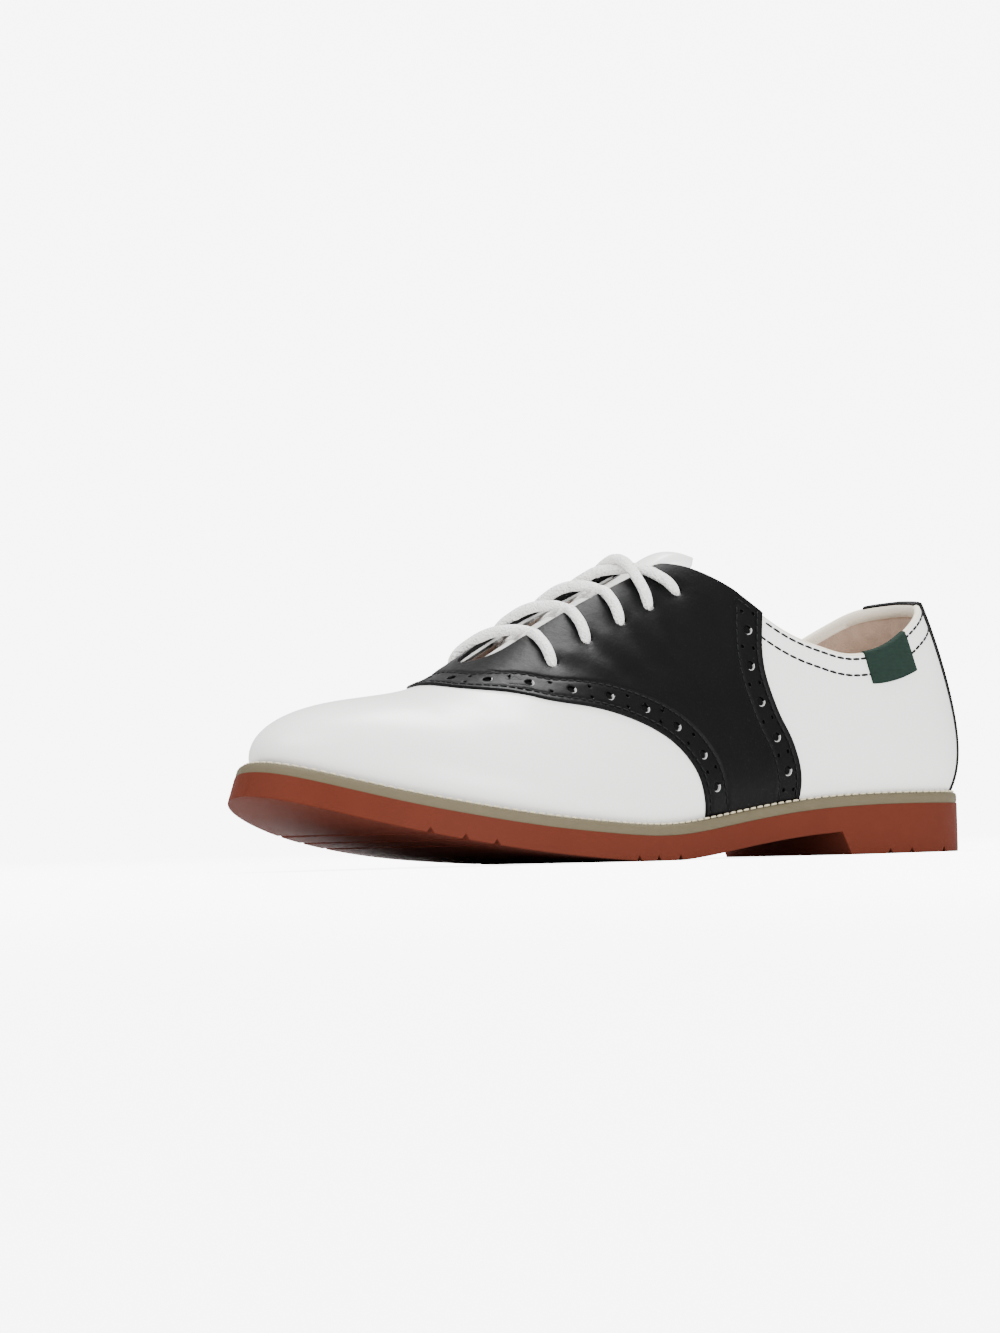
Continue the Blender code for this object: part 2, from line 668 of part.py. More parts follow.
def make_throat_cutter(collection):
    # A slot along the ridge, seen from above, with a round end towards the toe
    turn = np.linspace(0, math.pi / 2, CORNER_POINTS)
    straight = np.linspace(THROAT_FROM, THROAT_ROUND, CORNER_POINTS)[:-1]
    ahead = THROAT_ROUND + (THROAT_END - THROAT_ROUND) * np.sin(turn)
    stations = np.r_[straight, ahead]
    width = np.r_[np.ones(len(straight)), np.cos(turn)]
    middle = RIDGE_CURVES["across"](stations) + ACROSS_SHIFT
    lateral = list(zip(middle + width * THROAT_HALF_WIDTH, MID - stations))
    medial = list(zip(middle - width * THROAT_HALF_MEDIAL, MID - stations))[:-1]
    outline = lateral + medial[::-1]
    bm = bmesh.new()
    rings = [[bm.verts.new((x, y, z)) for x, y in outline] for z in (THROAT_LOW, THROAT_HIGH)]
    for k in range(len(outline)):
        n = (k + 1) % len(outline)
        bm.faces.new([rings[0][k], rings[0][n], rings[1][n], rings[1][k]])
    bm.faces.new(rings[0][::-1])
    bm.faces.new(rings[1])
    bmesh.ops.recalc_face_normals(bm, faces=bm.faces)
    return hide_cutter("throat_cutter", bm, collection)


def make_eyelet_punch(collection):
    bm = bmesh.new()
    for side in (LATERAL, MEDIAL):
        for number in range(len(EYELETS)):
            along, up = eyelet_place(side, number)
            centre = Vector(last_point(side, along, up))
            normal = Vector(last_normal(side, along, up))
            turn = normal.to_track_quat("Z", "Y").to_matrix().to_4x4()
            turn.translation = centre
            bmesh.ops.create_cone(bm, cap_ends=True, segments=EYELET_SEGMENTS,
                                  radius1=EYELET_RADIUS, radius2=EYELET_RADIUS,
                                  depth=PUNCH_DEPTH, matrix=turn)
    return hide_cutter("eyelet_punch", bm, collection)


def cut_with(thing, cutter):
    cut = thing.modifiers.new(cutter.name, "BOOLEAN")
    cut.operation = "DIFFERENCE"
    cut.solver = "EXACT"
    cut.object = cutter


def surface_across(signed, along, off):
    # A point a signed distance from the ridge, lateral side positive
    side = LATERAL if signed >= 0 else MEDIAL
    up = 1 - abs(signed) / rib_length(side, along)
    return offset_point(side, along, up, off)


OVER_FACING = OVERLAY_GAP + OVERLAY_WALL + OVERLAY_GAP + LACE_RADIUS
OVER_TONGUE = LACE_RADIUS - UPPER_WALL - TONGUE_GAP + GAP
AT_CROSSING = 0.0012


def throat_half(side):
    return THROAT_HALF_MEDIAL if side == MEDIAL else THROAT_HALF_WIDTH


def lace_offset(away, near_side, stays_above, end_away, near_half):
    # Height of the lace's middle over the last: clear of the facing, then down to the tongue
    if stays_above:
        return OVER_FACING
    if near_side:
        share = min(1.0, away / (near_half - SMALL))
        return AT_CROSSING + (OVER_FACING - AT_CROSSING) * share
    return AT_CROSSING + (OVER_TONGUE - AT_CROSSING) * min(1.0, away / end_away)


def lace_route(number, sign, stays_above):
    # From an eyelet over the near facing and the tongue, towards the next eyelet opposite.
    # It ends short of the far facing, under which the real lace goes, unless it stays above.
    near, far = (LATERAL, MEDIAL) if sign > 0 else (MEDIAL, LATERAL)
    start_along, start_away = eyelet_at(near, number)
    end_along, end_away = eyelet_at(far, number + 1)
    if not stays_above:
        reach = throat_half(far) - LACE_RADIUS - GAP
        share = (start_away + reach) / (start_away + end_away)
        end_along = start_along + (end_along - start_along) * share
        end_away = reach
    points = []
    for part in np.linspace(0, 1, LACE_POINTS):
        along = start_along + part * (end_along - start_along)
        from_ridge = start_away - part * (start_away + end_away)
        off = lace_offset(abs(from_ridge), from_ridge > 0, stays_above, end_away, throat_half(near))
        points.append(surface_across(sign * from_ridge, along, off))
    return points


def lace_tube(points, name, collection):
    curve = bpy.data.curves.new(name, "CURVE")
    curve.dimensions = "3D"
    curve.bevel_depth = LACE_RADIUS
    curve.bevel_resolution = 2
    curve.use_fill_caps = True
    spline_data = curve.splines.new("POLY")
    spline_data.points.add(len(points) - 1)
    for k, point in enumerate(points):
        spline_data.points[k].co = (*point, 1.0)
    thing = bpy.data.objects.new(name, curve)
    collection.objects.link(thing)
    bpy.context.view_layer.update()
    evaluated = thing.evaluated_get(bpy.context.evaluated_depsgraph_get())
    mesh = bpy.data.meshes.new_from_object(evaluated)
    mesh.name = name
    bm = bmesh.new()
    bm.from_mesh(mesh)
    bmesh.ops.remove_doubles(bm, verts=bm.verts, dist=WELD / 10)
    bmesh.ops.recalc_face_normals(bm, faces=bm.faces)
    bm.to_mesh(mesh)
    bm.free()
    bpy.data.objects.remove(thing, do_unlink=True)
    return mesh


def make_lace_crossing(number, material, collection, cutters):
    name = f"lace_crossing_{number + 1}"
    last = number == len(EYELETS) - 2
    near = lace_tube(lace_route(number, 1, last), name, collection)
    far = lace_tube(lace_route(number, -1, last), name + "_far", collection)
    near.materials.clear()
    near.materials.append(material)
    crossing = bpy.data.objects.new(name, near)
    collection.objects.link(crossing)
    other = bpy.data.objects.new(name + "_far", far)
    cutters.objects.link(other)
    other.hide_render = True
    other.display_type = "WIRE"
    join = crossing.modifiers.new("join", "BOOLEAN")
    join.operation = "UNION"
    join.solver = "EXACT"
    join.object = other
    return crossing


def main():
    clear_scene()
    shoe = new_collection("saddle_shoe")
    cutters = new_collection("cutters")
    finish = {name: make_material(name) for name in MATERIALS}
    make_outsole(finish["rubber_brick"], shoe)
    make_welt(finish["welt_khaki"], shoe)
    make_insole(finish["footbed_tan"], shoe)
    throat = make_throat_cutter(cutters)
    punch = make_eyelet_punch(cutters)
    upper = make_upper(finish["leather_white"], shoe)
    saddle = make_saddle(finish["leather_black"], shoe)
    for thing in (upper, saddle):
        cut_with(thing, throat)
        cut_with(thing, punch)
    make_back_strip(finish["leather_black"], shoe)
    make_collar_tab(finish["tab_green"], shoe)
    make_tongue(finish["leather_white"], shoe)
    for number in range(len(EYELETS) - 1):
        make_lace_crossing(number, finish["lace_white"], shoe, cutters)


main()
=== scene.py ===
import math

import bmesh
import bpy
import numpy as np
from mathutils import Matrix, Vector


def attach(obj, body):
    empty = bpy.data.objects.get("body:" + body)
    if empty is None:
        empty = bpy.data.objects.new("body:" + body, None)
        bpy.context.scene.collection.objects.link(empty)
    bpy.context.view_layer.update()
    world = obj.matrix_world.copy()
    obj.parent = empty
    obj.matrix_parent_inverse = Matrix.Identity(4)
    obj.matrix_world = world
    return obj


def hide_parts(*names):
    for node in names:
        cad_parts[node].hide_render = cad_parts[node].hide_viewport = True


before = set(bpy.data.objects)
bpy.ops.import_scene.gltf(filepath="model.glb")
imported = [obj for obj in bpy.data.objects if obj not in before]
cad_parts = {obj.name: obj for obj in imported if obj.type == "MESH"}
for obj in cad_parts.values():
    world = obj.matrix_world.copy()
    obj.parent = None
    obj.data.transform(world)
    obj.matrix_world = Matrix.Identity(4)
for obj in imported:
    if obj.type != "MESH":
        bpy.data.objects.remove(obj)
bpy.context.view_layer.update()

# The shoe's form, as in the part's source: metres, +Z up, toe to -Y, lateral side to +X.
# A station is the distance forward from the heel's back.
LENGTH = 0.270
MID = LENGTH / 2
ACROSS_SHIFT = 0.0013
GAP = 0.0003
UPPER_WALL = 0.0020
WELT_THICK = 0.0035
SOLE_THICK = 0.0081
FOOTBED_TOP = 0.0066
SMALL = 0.0005
OUTLINE_POINTS = 720

# Columns: station, across
SOLE_OUTLINE = [
    (0.0000, 0.0025), (0.0035, 0.0180), (0.0130, 0.0288), (0.0320, 0.0344),
    (0.0600, 0.0347), (0.0900, 0.0340), (0.1200, 0.0366), (0.1500, 0.0420),
    (0.1780, 0.0460), (0.2020, 0.0445), (0.2240, 0.0379), (0.2440, 0.0269),
    (0.2590, 0.0135), (0.2685, -0.0020), (0.2695, -0.0130), (0.2660, -0.0240),
    (0.2570, -0.0345), (0.2430, -0.0416), (0.2230, -0.0472), (0.2010, -0.0488),
    (0.1810, -0.0473), (0.1570, -0.0398), (0.1300, -0.0307), (0.1000, -0.0270),
    (0.0700, -0.0284), (0.0400, -0.0298), (0.0140, -0.0237), (0.0035, -0.0124),
]
WELT_SHOWS_HEEL, WELT_SHOWS_TOE = 0.0030, 0.0048
WELT_SHOWS_FROM, WELT_SHOWS_TO = 0.10, 0.22
# Columns: station, height
PLATE = [
    (0.000, 0.0156), (0.040, 0.0161), (0.080, 0.0146), (0.110, 0.0111), (0.140, 0.0080),
    (0.170, 0.0092), (0.195, 0.0118), (0.220, 0.0161), (0.245, 0.0224), (0.270, 0.0315),
]
HEEL_BREAST, BREAST_LEAN = 0.0627, 0.0040
BALL_FLAT = (0.137, 0.155)
GROOVES = (0.021, 0.037, 0.0465, 0.139, 0.149, 0.158, 0.2125, 0.222, 0.232)

RIDGE_COLUMNS = ("station", "height", "across", "lateral_side_power", "lateral_top_power",
                 "medial_side_power", "medial_top_power", "lateral_bulge", "medial_bulge",
                 "bulge_height")
RIDGE = [
    (0.048, 0.1180, 0.0020, 1.90, 2.20, 1.90, 2.20, 0.0039, 0.0039, 0.018),
    (0.070, 0.1150, 0.0010, 2.05, 2.15, 2.10, 2.15, 0.0034, 0.0026, 0.017),
    (0.090, 0.1079, 0.0000, 2.00, 2.10, 2.65, 2.60, 0.0026, 0.0014, 0.015),
    (0.105, 0.1026, -0.0010, 1.78, 1.95, 3.05, 2.95, 0.0024, 0.0010, 0.014),
    (0.120, 0.0968, -0.0015, 1.60, 1.85, 3.05, 2.95, 0.0024, 0.0006, 0.013),
    (0.132, 0.0916, -0.0020, 1.50, 1.80, 3.00, 2.90, 0.0024, 0.0006, 0.012),
    (0.146, 0.0853, -0.0030, 1.45, 1.75, 2.95, 2.85, 0.0026, 0.0008, 0.012),
    (0.160, 0.0785, -0.0035, 1.45, 1.75, 2.85, 2.75, 0.0030, 0.0014, 0.012),
    (0.172, 0.0723, -0.0040, 1.57, 1.80, 2.65, 2.60, 0.0032, 0.0020, 0.012),
    (0.184, 0.0659, -0.0050, 1.78, 1.90, 2.40, 2.40, 0.0034, 0.0024, 0.011),
    (0.196, 0.0601, -0.0060, 2.03, 2.05, 2.25, 2.25, 0.0032, 0.0024, 0.010),
    (0.208, 0.0565, -0.0075, 2.30, 2.30, 2.30, 2.30, 0.0028, 0.0020, 0.009),
    (0.220, 0.0548, -0.0090, 2.60, 2.60, 2.60, 2.60, 0.0022, 0.0016, 0.008),
    (0.228, 0.0540, -0.0100, 2.85, 2.85, 2.85, 2.85, 0.0016, 0.0016, 0.008),
]
HEEL_POLE, TOE_POLE = RIDGE[0][0], RIDGE[-1][0]
POLE_BLEND = 0.012
CROWN = 0.35
LATERAL, MEDIAL = 0, 1
SIDES = (LATERAL, MEDIAL)
SIDE_NAMES = ("lateral", "medial")

# Columns: along, up
COLLAR = [
    (0.000, 0.548), (0.040, 0.545), (0.080, 0.534), (0.106, 0.514), (0.142, 0.480),
    (0.170, 0.452), (0.200, 0.430), (0.223, 0.424), (0.246, 0.431), (0.270, 0.456),
    (0.305, 0.511), (0.338, 0.600), (0.368, 0.709), (0.392, 0.789), (0.415, 0.857),
    (0.436, 0.904), (0.455, 0.940), (0.480, 1.000),
]
THROAT_HALF_WIDTH = 0.0080
THROAT_HALF_MEDIAL = 0.0095
THROAT_ROUND, THROAT_END = 0.178, 0.1885
# Columns: up, along
SADDLE_REAR = [
    (0.00, 0.318), (0.09, 0.320), (0.15, 0.325), (0.21, 0.332), (0.27, 0.341),
    (0.34, 0.348), (0.40, 0.352), (0.50, 0.351), (0.60, 0.342), (0.70, 0.333),
]
SADDLE_FRONT = [
    (0.00, 0.453), (0.09, 0.459), (0.15, 0.465), (0.22, 0.478), (0.29, 0.498),
    (0.36, 0.529), (0.42, 0.564), (0.47, 0.599), (0.51, 0.631), (0.60, 0.671),
    (0.71, 0.707), (0.80, 0.726), (0.90, 0.733), (1.00, 0.735),
]
BACK_STRIP = [(0.0, 0.052), (0.25, 0.055), (0.55, 0.058)]
# Columns: along, distance from the ridge. The medial row lies further forward and nearer to it.
MEDIAL_AHEAD, MEDIAL_IN = 0.036, 0.0050
EYELETS = [(0.619, 0.0243), (0.565, 0.0221), (0.515, 0.0215), (0.474, 0.0211), (0.435, 0.0209)]
# Columns: station, half width
TONGUE = [
    (0.1000, 0.0045), (0.1012, 0.0085), (0.1040, 0.0122), (0.1090, 0.0152), (0.1160, 0.0168),
    (0.1250, 0.0174), (0.1400, 0.0165), (0.1550, 0.0155), (0.1700, 0.0145), (0.1850, 0.0130),
    (0.1960, 0.0115),
]


def size(vectors):
    return np.linalg.norm(vectors, axis=-1)


def unit(vectors):
    return vectors / np.maximum(size(vectors), 1e-12)[..., None]


def spline(knots, values):
    # Natural cubic spline through a short table, carried on past its ends
    x, y = np.asarray(knots, float), np.asarray(values, float)
    count = len(x)
    step = np.diff(x)
    matrix, right = np.eye(count), np.zeros(count)
    for i in range(1, count - 1):
        matrix[i, i - 1:i + 2] = step[i - 1], 2 * (step[i - 1] + step[i]), step[i]
        right[i] = 6 * ((y[i + 1] - y[i]) / step[i] - (y[i] - y[i - 1]) / step[i - 1])
    bend = np.linalg.solve(matrix, right)

    def value(at):
        at = np.asarray(at, float)
        i = np.clip(np.searchsorted(x, at) - 1, 0, count - 2)
        before, after, width = at - x[i], x[i + 1] - at, step[i]
        cubic = (bend[i] * after**3 + bend[i + 1] * before**3) / (6 * width)
        low = (y[i] / width - bend[i] * width / 6) * after
        return cubic + low + (y[i + 1] / width - bend[i + 1] * width / 6) * before

    return value


def table_spline(table, column=1):
    return spline([row[0] for row in table], [row[column] for row in table])


def run_along(points):
    # The length of a line up to each of its points
    return np.r_[0, np.cumsum(size(np.diff(points, axis=0)))]


def at_run(value, run, points):
    # The place on a line of 3-D points at one length, or at several
    return np.stack([np.interp(value, run, points[:, axis]) for axis in range(3)], -1)


plate_height = table_spline(PLATE)
RIDGE_CURVES = {name: table_spline(RIDGE, i) for i, name in enumerate(RIDGE_COLUMNS)}


def slope_of(curve, station):
    return (curve(station + SMALL) - curve(station - SMALL)) / (2 * SMALL)


def on_plate(station, across, rise):
    # A point at a height square to the sole's top
    tilt = np.arctan(slope_of(plate_height, station))
    y = MID - (station - rise * np.sin(tilt))
    return np.stack(np.broadcast_arrays(across + ACROSS_SHIFT + 0 * station, y,
                                        plate_height(station) + rise * np.cos(tilt)), -1)


def closed_curve(table, count):
    points = np.array(table)
    wrap = 5
    ring = np.vstack([points[-wrap:], points, points[:wrap + 1]])
    run = np.r_[0, np.cumsum(np.hypot(*np.diff(ring, axis=0).T))]
    at = np.linspace(run[wrap], run[wrap + len(points)], count + 1)[:-1]
    return np.stack([spline(run, ring[:, 0])(at), spline(run, ring[:, 1])(at)], -1)


def inset(curve, depth):
    along = unit(np.roll(curve, -1, 0) - np.roll(curve, 1, 0))
    inward = np.stack([along[:, 1], -along[:, 0]], -1)
    if ((curve.mean(0) - curve) * inward).sum() < 0:
        inward = -inward
    return curve + inward * np.reshape(depth, (-1, 1))


def half_curves(curve, knots=60):
    ring = np.roll(curve, -int(np.argmin(curve[:, 0])), axis=0)
    tip = int(np.argmax(ring[:, 0]))
    result = []
    for half in (ring[:tip + 1], np.vstack([ring[tip:], ring[:1]])[::-1]):
        run = np.r_[0, np.cumsum(np.hypot(*np.diff(half, axis=0).T))]
        run /= run[-1]
        pick = np.linspace(0, len(half) - 1, knots).astype(int)
        result.append((spline(run[pick], half[pick, 0]), spline(run[pick], half[pick, 1])))
    return result


SOLE_CURVE = closed_curve(SOLE_OUTLINE, OUTLINE_POINTS)
WELT_SHOWS = np.interp(SOLE_CURVE[:, 0], (WELT_SHOWS_FROM, WELT_SHOWS_TO),
                       (WELT_SHOWS_HEEL, WELT_SHOWS_TOE))
FEATHER = inset(SOLE_CURVE, WELT_SHOWS)
FEATHER_HALVES = half_curves(FEATHER)


def soft_between(value, low, high):
    raised = low + POLE_BLEND * np.log1p(np.exp((value - low) / POLE_BLEND))
    return high - POLE_BLEND * np.log1p(np.exp((high - raised) / POLE_BLEND))


def ridge_station(along):
    def raw(share):
        mean = (FEATHER_HALVES[0][0](share) + FEATHER_HALVES[1][0](share)) / 2
        return soft_between(mean, HEEL_POLE, TOE_POLE)
    first, last = raw(0.0), raw(1.0)
    return HEEL_POLE + (raw(along) - first) * (TOE_POLE - HEEL_POLE) / (last - first)


def ridge_slope(station, level_run=0.03):
    slope = slope_of(RIDGE_CURVES["height"], station)
    return slope * np.clip((station - HEEL_POLE) / level_run, 0, 1)


def rib_point(side, along, turn):
    station = ridge_station(along)
    form = {name: curve(station) for name, curve in RIDGE_CURVES.items()}
    foot_station, foot_across = FEATHER_HALVES[side]
    foot = on_plate(foot_station(along), foot_across(along), WELT_THICK + GAP)
    top = np.stack([form["across"] + ACROSS_SHIFT, MID - station, form["height"]], -1)
    side_power, top_power, bulge = (form[SIDE_NAMES[side] + kind]
                                    for kind in ("_side_power", "_top_power", "_bulge"))
    out_share = np.clip(np.cos(turn), 0, 1) ** (2 / side_power)
    half_power = side_power / 2
    crown = CROWN ** side_power
    fall = ((out_share**2 + CROWN**2) ** half_power - crown) / ((1 + CROWN**2) ** half_power - crown)
    up_share = np.clip(1 - fall, 0, 1) ** (1 / top_power)
    flat = top[..., :2] + (foot - top)[..., :2] * out_share[..., None]
    roof = top[..., 2] - ridge_slope(station) * (flat[..., 1] - top[..., 1])
    height = foot[..., 2] + up_share * (roof - foot[..., 2])
    outward = unit((foot - top)[..., :2])
    rise = (height - foot[..., 2]) / form["bulge_height"]
    swell = bulge * rise * np.exp(1 - rise) * np.sqrt(np.clip(fall, 0, 1))
    return np.concatenate([flat + outward * swell[..., None], height[..., None]], -1)


TABLE_ALONG, TABLE_UP = 161, 97


def rib_tables(samples=400):
    turns, lengths = [], []
    ease = np.linspace(0, 1, samples)
    sample = ease**2 * (3 - 2 * ease) * math.pi / 2
    for side in SIDES:
        side_turns, side_lengths = [], []
        for along in np.linspace(0, 1, TABLE_ALONG):
            rib = rib_point(side, np.full(samples, along), sample)
            run = run_along(rib)
            side_turns.append(np.interp(np.linspace(0, run[-1], TABLE_UP), run, sample))
            side_lengths.append(run[-1])
        turns.append(np.array(side_turns))
        lengths.append(np.array(side_lengths))
    return turns, lengths


RIB_TURNS, RIB_LENGTHS = rib_tables()


def rib_length(side, along):
    return np.interp(along, np.linspace(0, 1, TABLE_ALONG), RIB_LENGTHS[side])


def last_point(side, along, up):
    along, up = np.broadcast_arrays(along, up)
    i = np.clip(along, 0, 1) * (TABLE_ALONG - 1)
    j = np.clip(up, 0, 1) * (TABLE_UP - 1)
    i0 = np.minimum(i.astype(int), TABLE_ALONG - 2)
    j0 = np.minimum(j.astype(int), TABLE_UP - 2)
    fi, fj = i - i0, j - j0
    table = RIB_TURNS[side]
    turn = ((1 - fi) * ((1 - fj) * table[i0, j0] + fj * table[i0, j0 + 1])
            + fi * ((1 - fj) * table[i0 + 1, j0] + fj * table[i0 + 1, j0 + 1]))
    return rib_point(side, np.clip(along, 0, 1), turn)


def last_normal(side, along, up, step=0.002):
    along, up = np.broadcast_arrays(along, up)
    ahead = last_point(side, np.clip(along + step, 0, 1), up)
    behind = last_point(side, np.clip(along - step, 0, 1), up)
    above = last_point(side, along, np.clip(up + step, 0, 1))
    below = last_point(side, along, np.clip(up - step, 0, 1))
    normal = np.cross(above - below, ahead - behind)
    normal = -normal if side == MEDIAL else normal
    # On the ridge both sides share one normal
    slope = ridge_slope(ridge_station(along))
    roof = np.stack([0 * slope, slope, 1 + 0 * slope], -1)
    return unit(np.where((up > 1 - step)[..., None], roof, normal))


collar_up = table_spline(COLLAR)
saddle_rear = table_spline(SADDLE_REAR)
saddle_front = table_spline(SADDLE_FRONT)
back_strip_half = table_spline(BACK_STRIP)


def throat_half(side, station):
    turn = np.clip((station - THROAT_ROUND) / (THROAT_END - THROAT_ROUND), 0, 1)
    half = THROAT_HALF_MEDIAL if side == MEDIAL else THROAT_HALF_WIDTH
    return half * np.sqrt(np.clip(1 - turn**2, 0, 1))


def edge_tables(count=1201, rows=241, corner=0.012):
    # The upper's top edge: the collar behind, the throat's edge ahead, a soft corner between.
    # Behind the throat's rear end its edge is carried on level.
    along = np.linspace(0, 1, count)
    result = []
    for side in SIDES:
        up = np.linspace(0.70, 1.0, rows)
        grid = last_point(side, along[:, None], up[None, :])
        station = MID - grid[..., 1]
        away = np.abs(grid[..., 0] - ACROSS_SHIFT - RIDGE_CURVES["across"](station))
        outside = away - throat_half(side, station)
        limit = np.ones(count)
        for i in range(count):
            inside = np.nonzero((outside[i] < 0) & (up > 0.72))[0]
            if len(inside) and along[i] > 0.40 and station[i, -1] < THROAT_END:
                k = inside[0]
                share = outside[i, k - 1] / (outside[i, k - 1] - outside[i, k])
                limit[i] = up[k - 1] + share * (up[k] - up[k - 1])
        limit[along < 0.47] = limit[along >= 0.44][0]
        collar = np.where(along < COLLAR[-1][0], collar_up(along), 2.0)
        gap = limit - collar
        soft = np.where(np.abs(gap) < corner, (corner - np.abs(gap)) ** 2 / (4 * corner), 0)
        result.append((along, np.minimum(limit, np.minimum(collar, limit) - soft)))
    return result


EDGE = edge_tables()


def top_edge(side, along):
    return np.interp(along, *EDGE[side])


def eyelet_at(side, number):
    along, from_ridge = EYELETS[number]
    if side == MEDIAL:
        return along + MEDIAL_AHEAD, from_ridge - MEDIAL_IN
    return along, from_ridge


def eyelet_points(side):
    for number in range(len(EYELETS)):
        along, from_ridge = eyelet_at(side, number)
        yield last_point(side, along, 1 - from_ridge / rib_length(side, along))


EYELET_POINTS = [list(eyelet_points(side)) for side in SIDES]


# Creases and puckers: side or None for both, along and up of each end,
# half width and depth in metres. A negative depth is a ridge.
CREASES = [
    (None, 0.64, 0.64, 0.585, 0.655, 0.005, 0.00035),
    (None, 0.592, 0.7, 0.56, 0.6, 0.0045, -0.0004),
    (None, 0.542, 0.715, 0.52, 0.61, 0.0045, -0.0004),
    (None, 0.495, 0.725, 0.482, 0.64, 0.0045, -0.00035),
    (None, 0.454, 0.735, 0.446, 0.66, 0.0045, -0.0003),
    (None, 0.565, 0.7, 0.54, 0.56, 0.0035, 0.0003),
    (None, 0.515, 0.712, 0.5, 0.58, 0.0035, 0.0003),
    (None, 0.474, 0.725, 0.462, 0.6, 0.0035, 0.00025),
    (LATERAL, 0.7, 0.56, 0.64, 0.38, 0.006, 0.0003),
    (LATERAL, 0.735, 0.52, 0.69, 0.33, 0.006, -0.00025),
    (LATERAL, 0.77, 0.56, 0.74, 0.3, 0.006, 0.00022),
    (MEDIAL, 0.7, 0.6, 0.66, 0.35, 0.006, 0.0003),
    (MEDIAL, 0.745, 0.56, 0.72, 0.33, 0.006, 0.00025),
    (None, 0.3, 0.38, 0.23, 0.3, 0.006, 0.0003),
    (None, 0.29, 0.25, 0.19, 0.22, 0.007, -0.00025),
    (None, 0.12, 0.4, 0.18, 0.32, 0.005, 0.00025),
    (None, 0.42, 0.25, 0.4, 0.45, 0.007, -0.0003),
]
DIMPLE_DEPTH, DIMPLE_WIDTH = 0.0006, 0.0036


def from_segment(points, start, end):
    line = end - start
    share = np.clip(((points - start) @ line) / (line @ line), 0, 1)
    return size(points - start - share[..., None] * line)


def relief(side, points):
    # How far the creases and the dimples at the eyelets lift or lower the leather
    lift = np.zeros(points.shape[:-1])
    for which, *ends, width, depth in CREASES:
        if which in (None, side):
            start, end = last_point(side, np.array(ends[::2]), np.array(ends[1::2]))
            lift -= depth * np.exp(-(from_segment(points, start, end) / width) ** 2)
    for centre in EYELET_POINTS[side]:
        lift -= DIMPLE_DEPTH * np.exp(-(size(points - centre) / DIMPLE_WIDTH) ** 2)
    return lift


def skin_at(side, along, up, off):
    # A point on the finished leather: the last, its creases, and an offset outwards
    point = last_point(side, along, up)
    lift = relief(side, point) + off
    return point + last_normal(side, along, up) * lift[..., None]


def walk(side, along, up, shift, distance, steps):
    # Moves (along, up) over the surface by a distance square to the line, on the shift side
    small = 0.0015
    for _ in range(steps):
        point = last_point(side, along, up)
        tangent = unit(np.gradient(point, axis=0))
        across = unit(np.cross(last_normal(side, along, up), tangent)) * shift
        by_along = (last_point(side, along + small, up) - point) / small
        above = np.minimum(up + small, 1)
        by_up = last_point(side, along, above) - last_point(side, along, up - small)
        by_up /= (above - up + small)[:, None]
        aa, au, uu = (by_along**2).sum(-1), (by_along * by_up).sum(-1), (by_up**2).sum(-1)
        va, vu = (by_along * across).sum(-1), (by_up * across).sum(-1)
        det = aa * uu - au**2
        along = along + distance / steps * (va * uu - vu * au) / det
        up = np.clip(up + distance / steps * (vu * aa - va * au) / det, 0, 1)
    return along, up


def add_thing(name, data):
    thing = bpy.data.objects.new(name, data)
    bpy.context.scene.collection.objects.link(thing)
    return thing


def bm_piece(name, bm, material, node, sharp=50):
    # Makes the visible piece, dressed over the CAD node it stands for, if any
    bmesh.ops.delete(bm, geom=[v for v in bm.verts if not v.link_faces], context="VERTS")
    mesh = bpy.data.meshes.new(name)
    bm.to_mesh(mesh)
    bm.free()
    mesh.materials.append(material)
    mesh.shade_smooth()
    mesh.set_sharp_from_angle(angle=math.radians(sharp))
    thing = add_thing(name, mesh)
    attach(thing, "root")
    if node:
        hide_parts(node)
    return thing


def add_grid(bm, grid, flip, keep=None):
    made = [[bm.verts.new(point) for point in row] for row in grid.tolist()]
    for i, (first, second) in enumerate(zip(made, made[1:])):
        for j in range(len(first) - 1):
            if keep is None or keep[i, j]:
                quad = [first[j], second[j], second[j + 1], first[j + 1]]
                bm.faces.new(quad[::-1] if flip else quad)


# The way from a hole's middle to the part of its rim that takes a painted highlight, where the light
# catches it: back and down
HIGHLIGHT_TOWARDS = unit(np.array((0.0, 0.6, -0.8)))


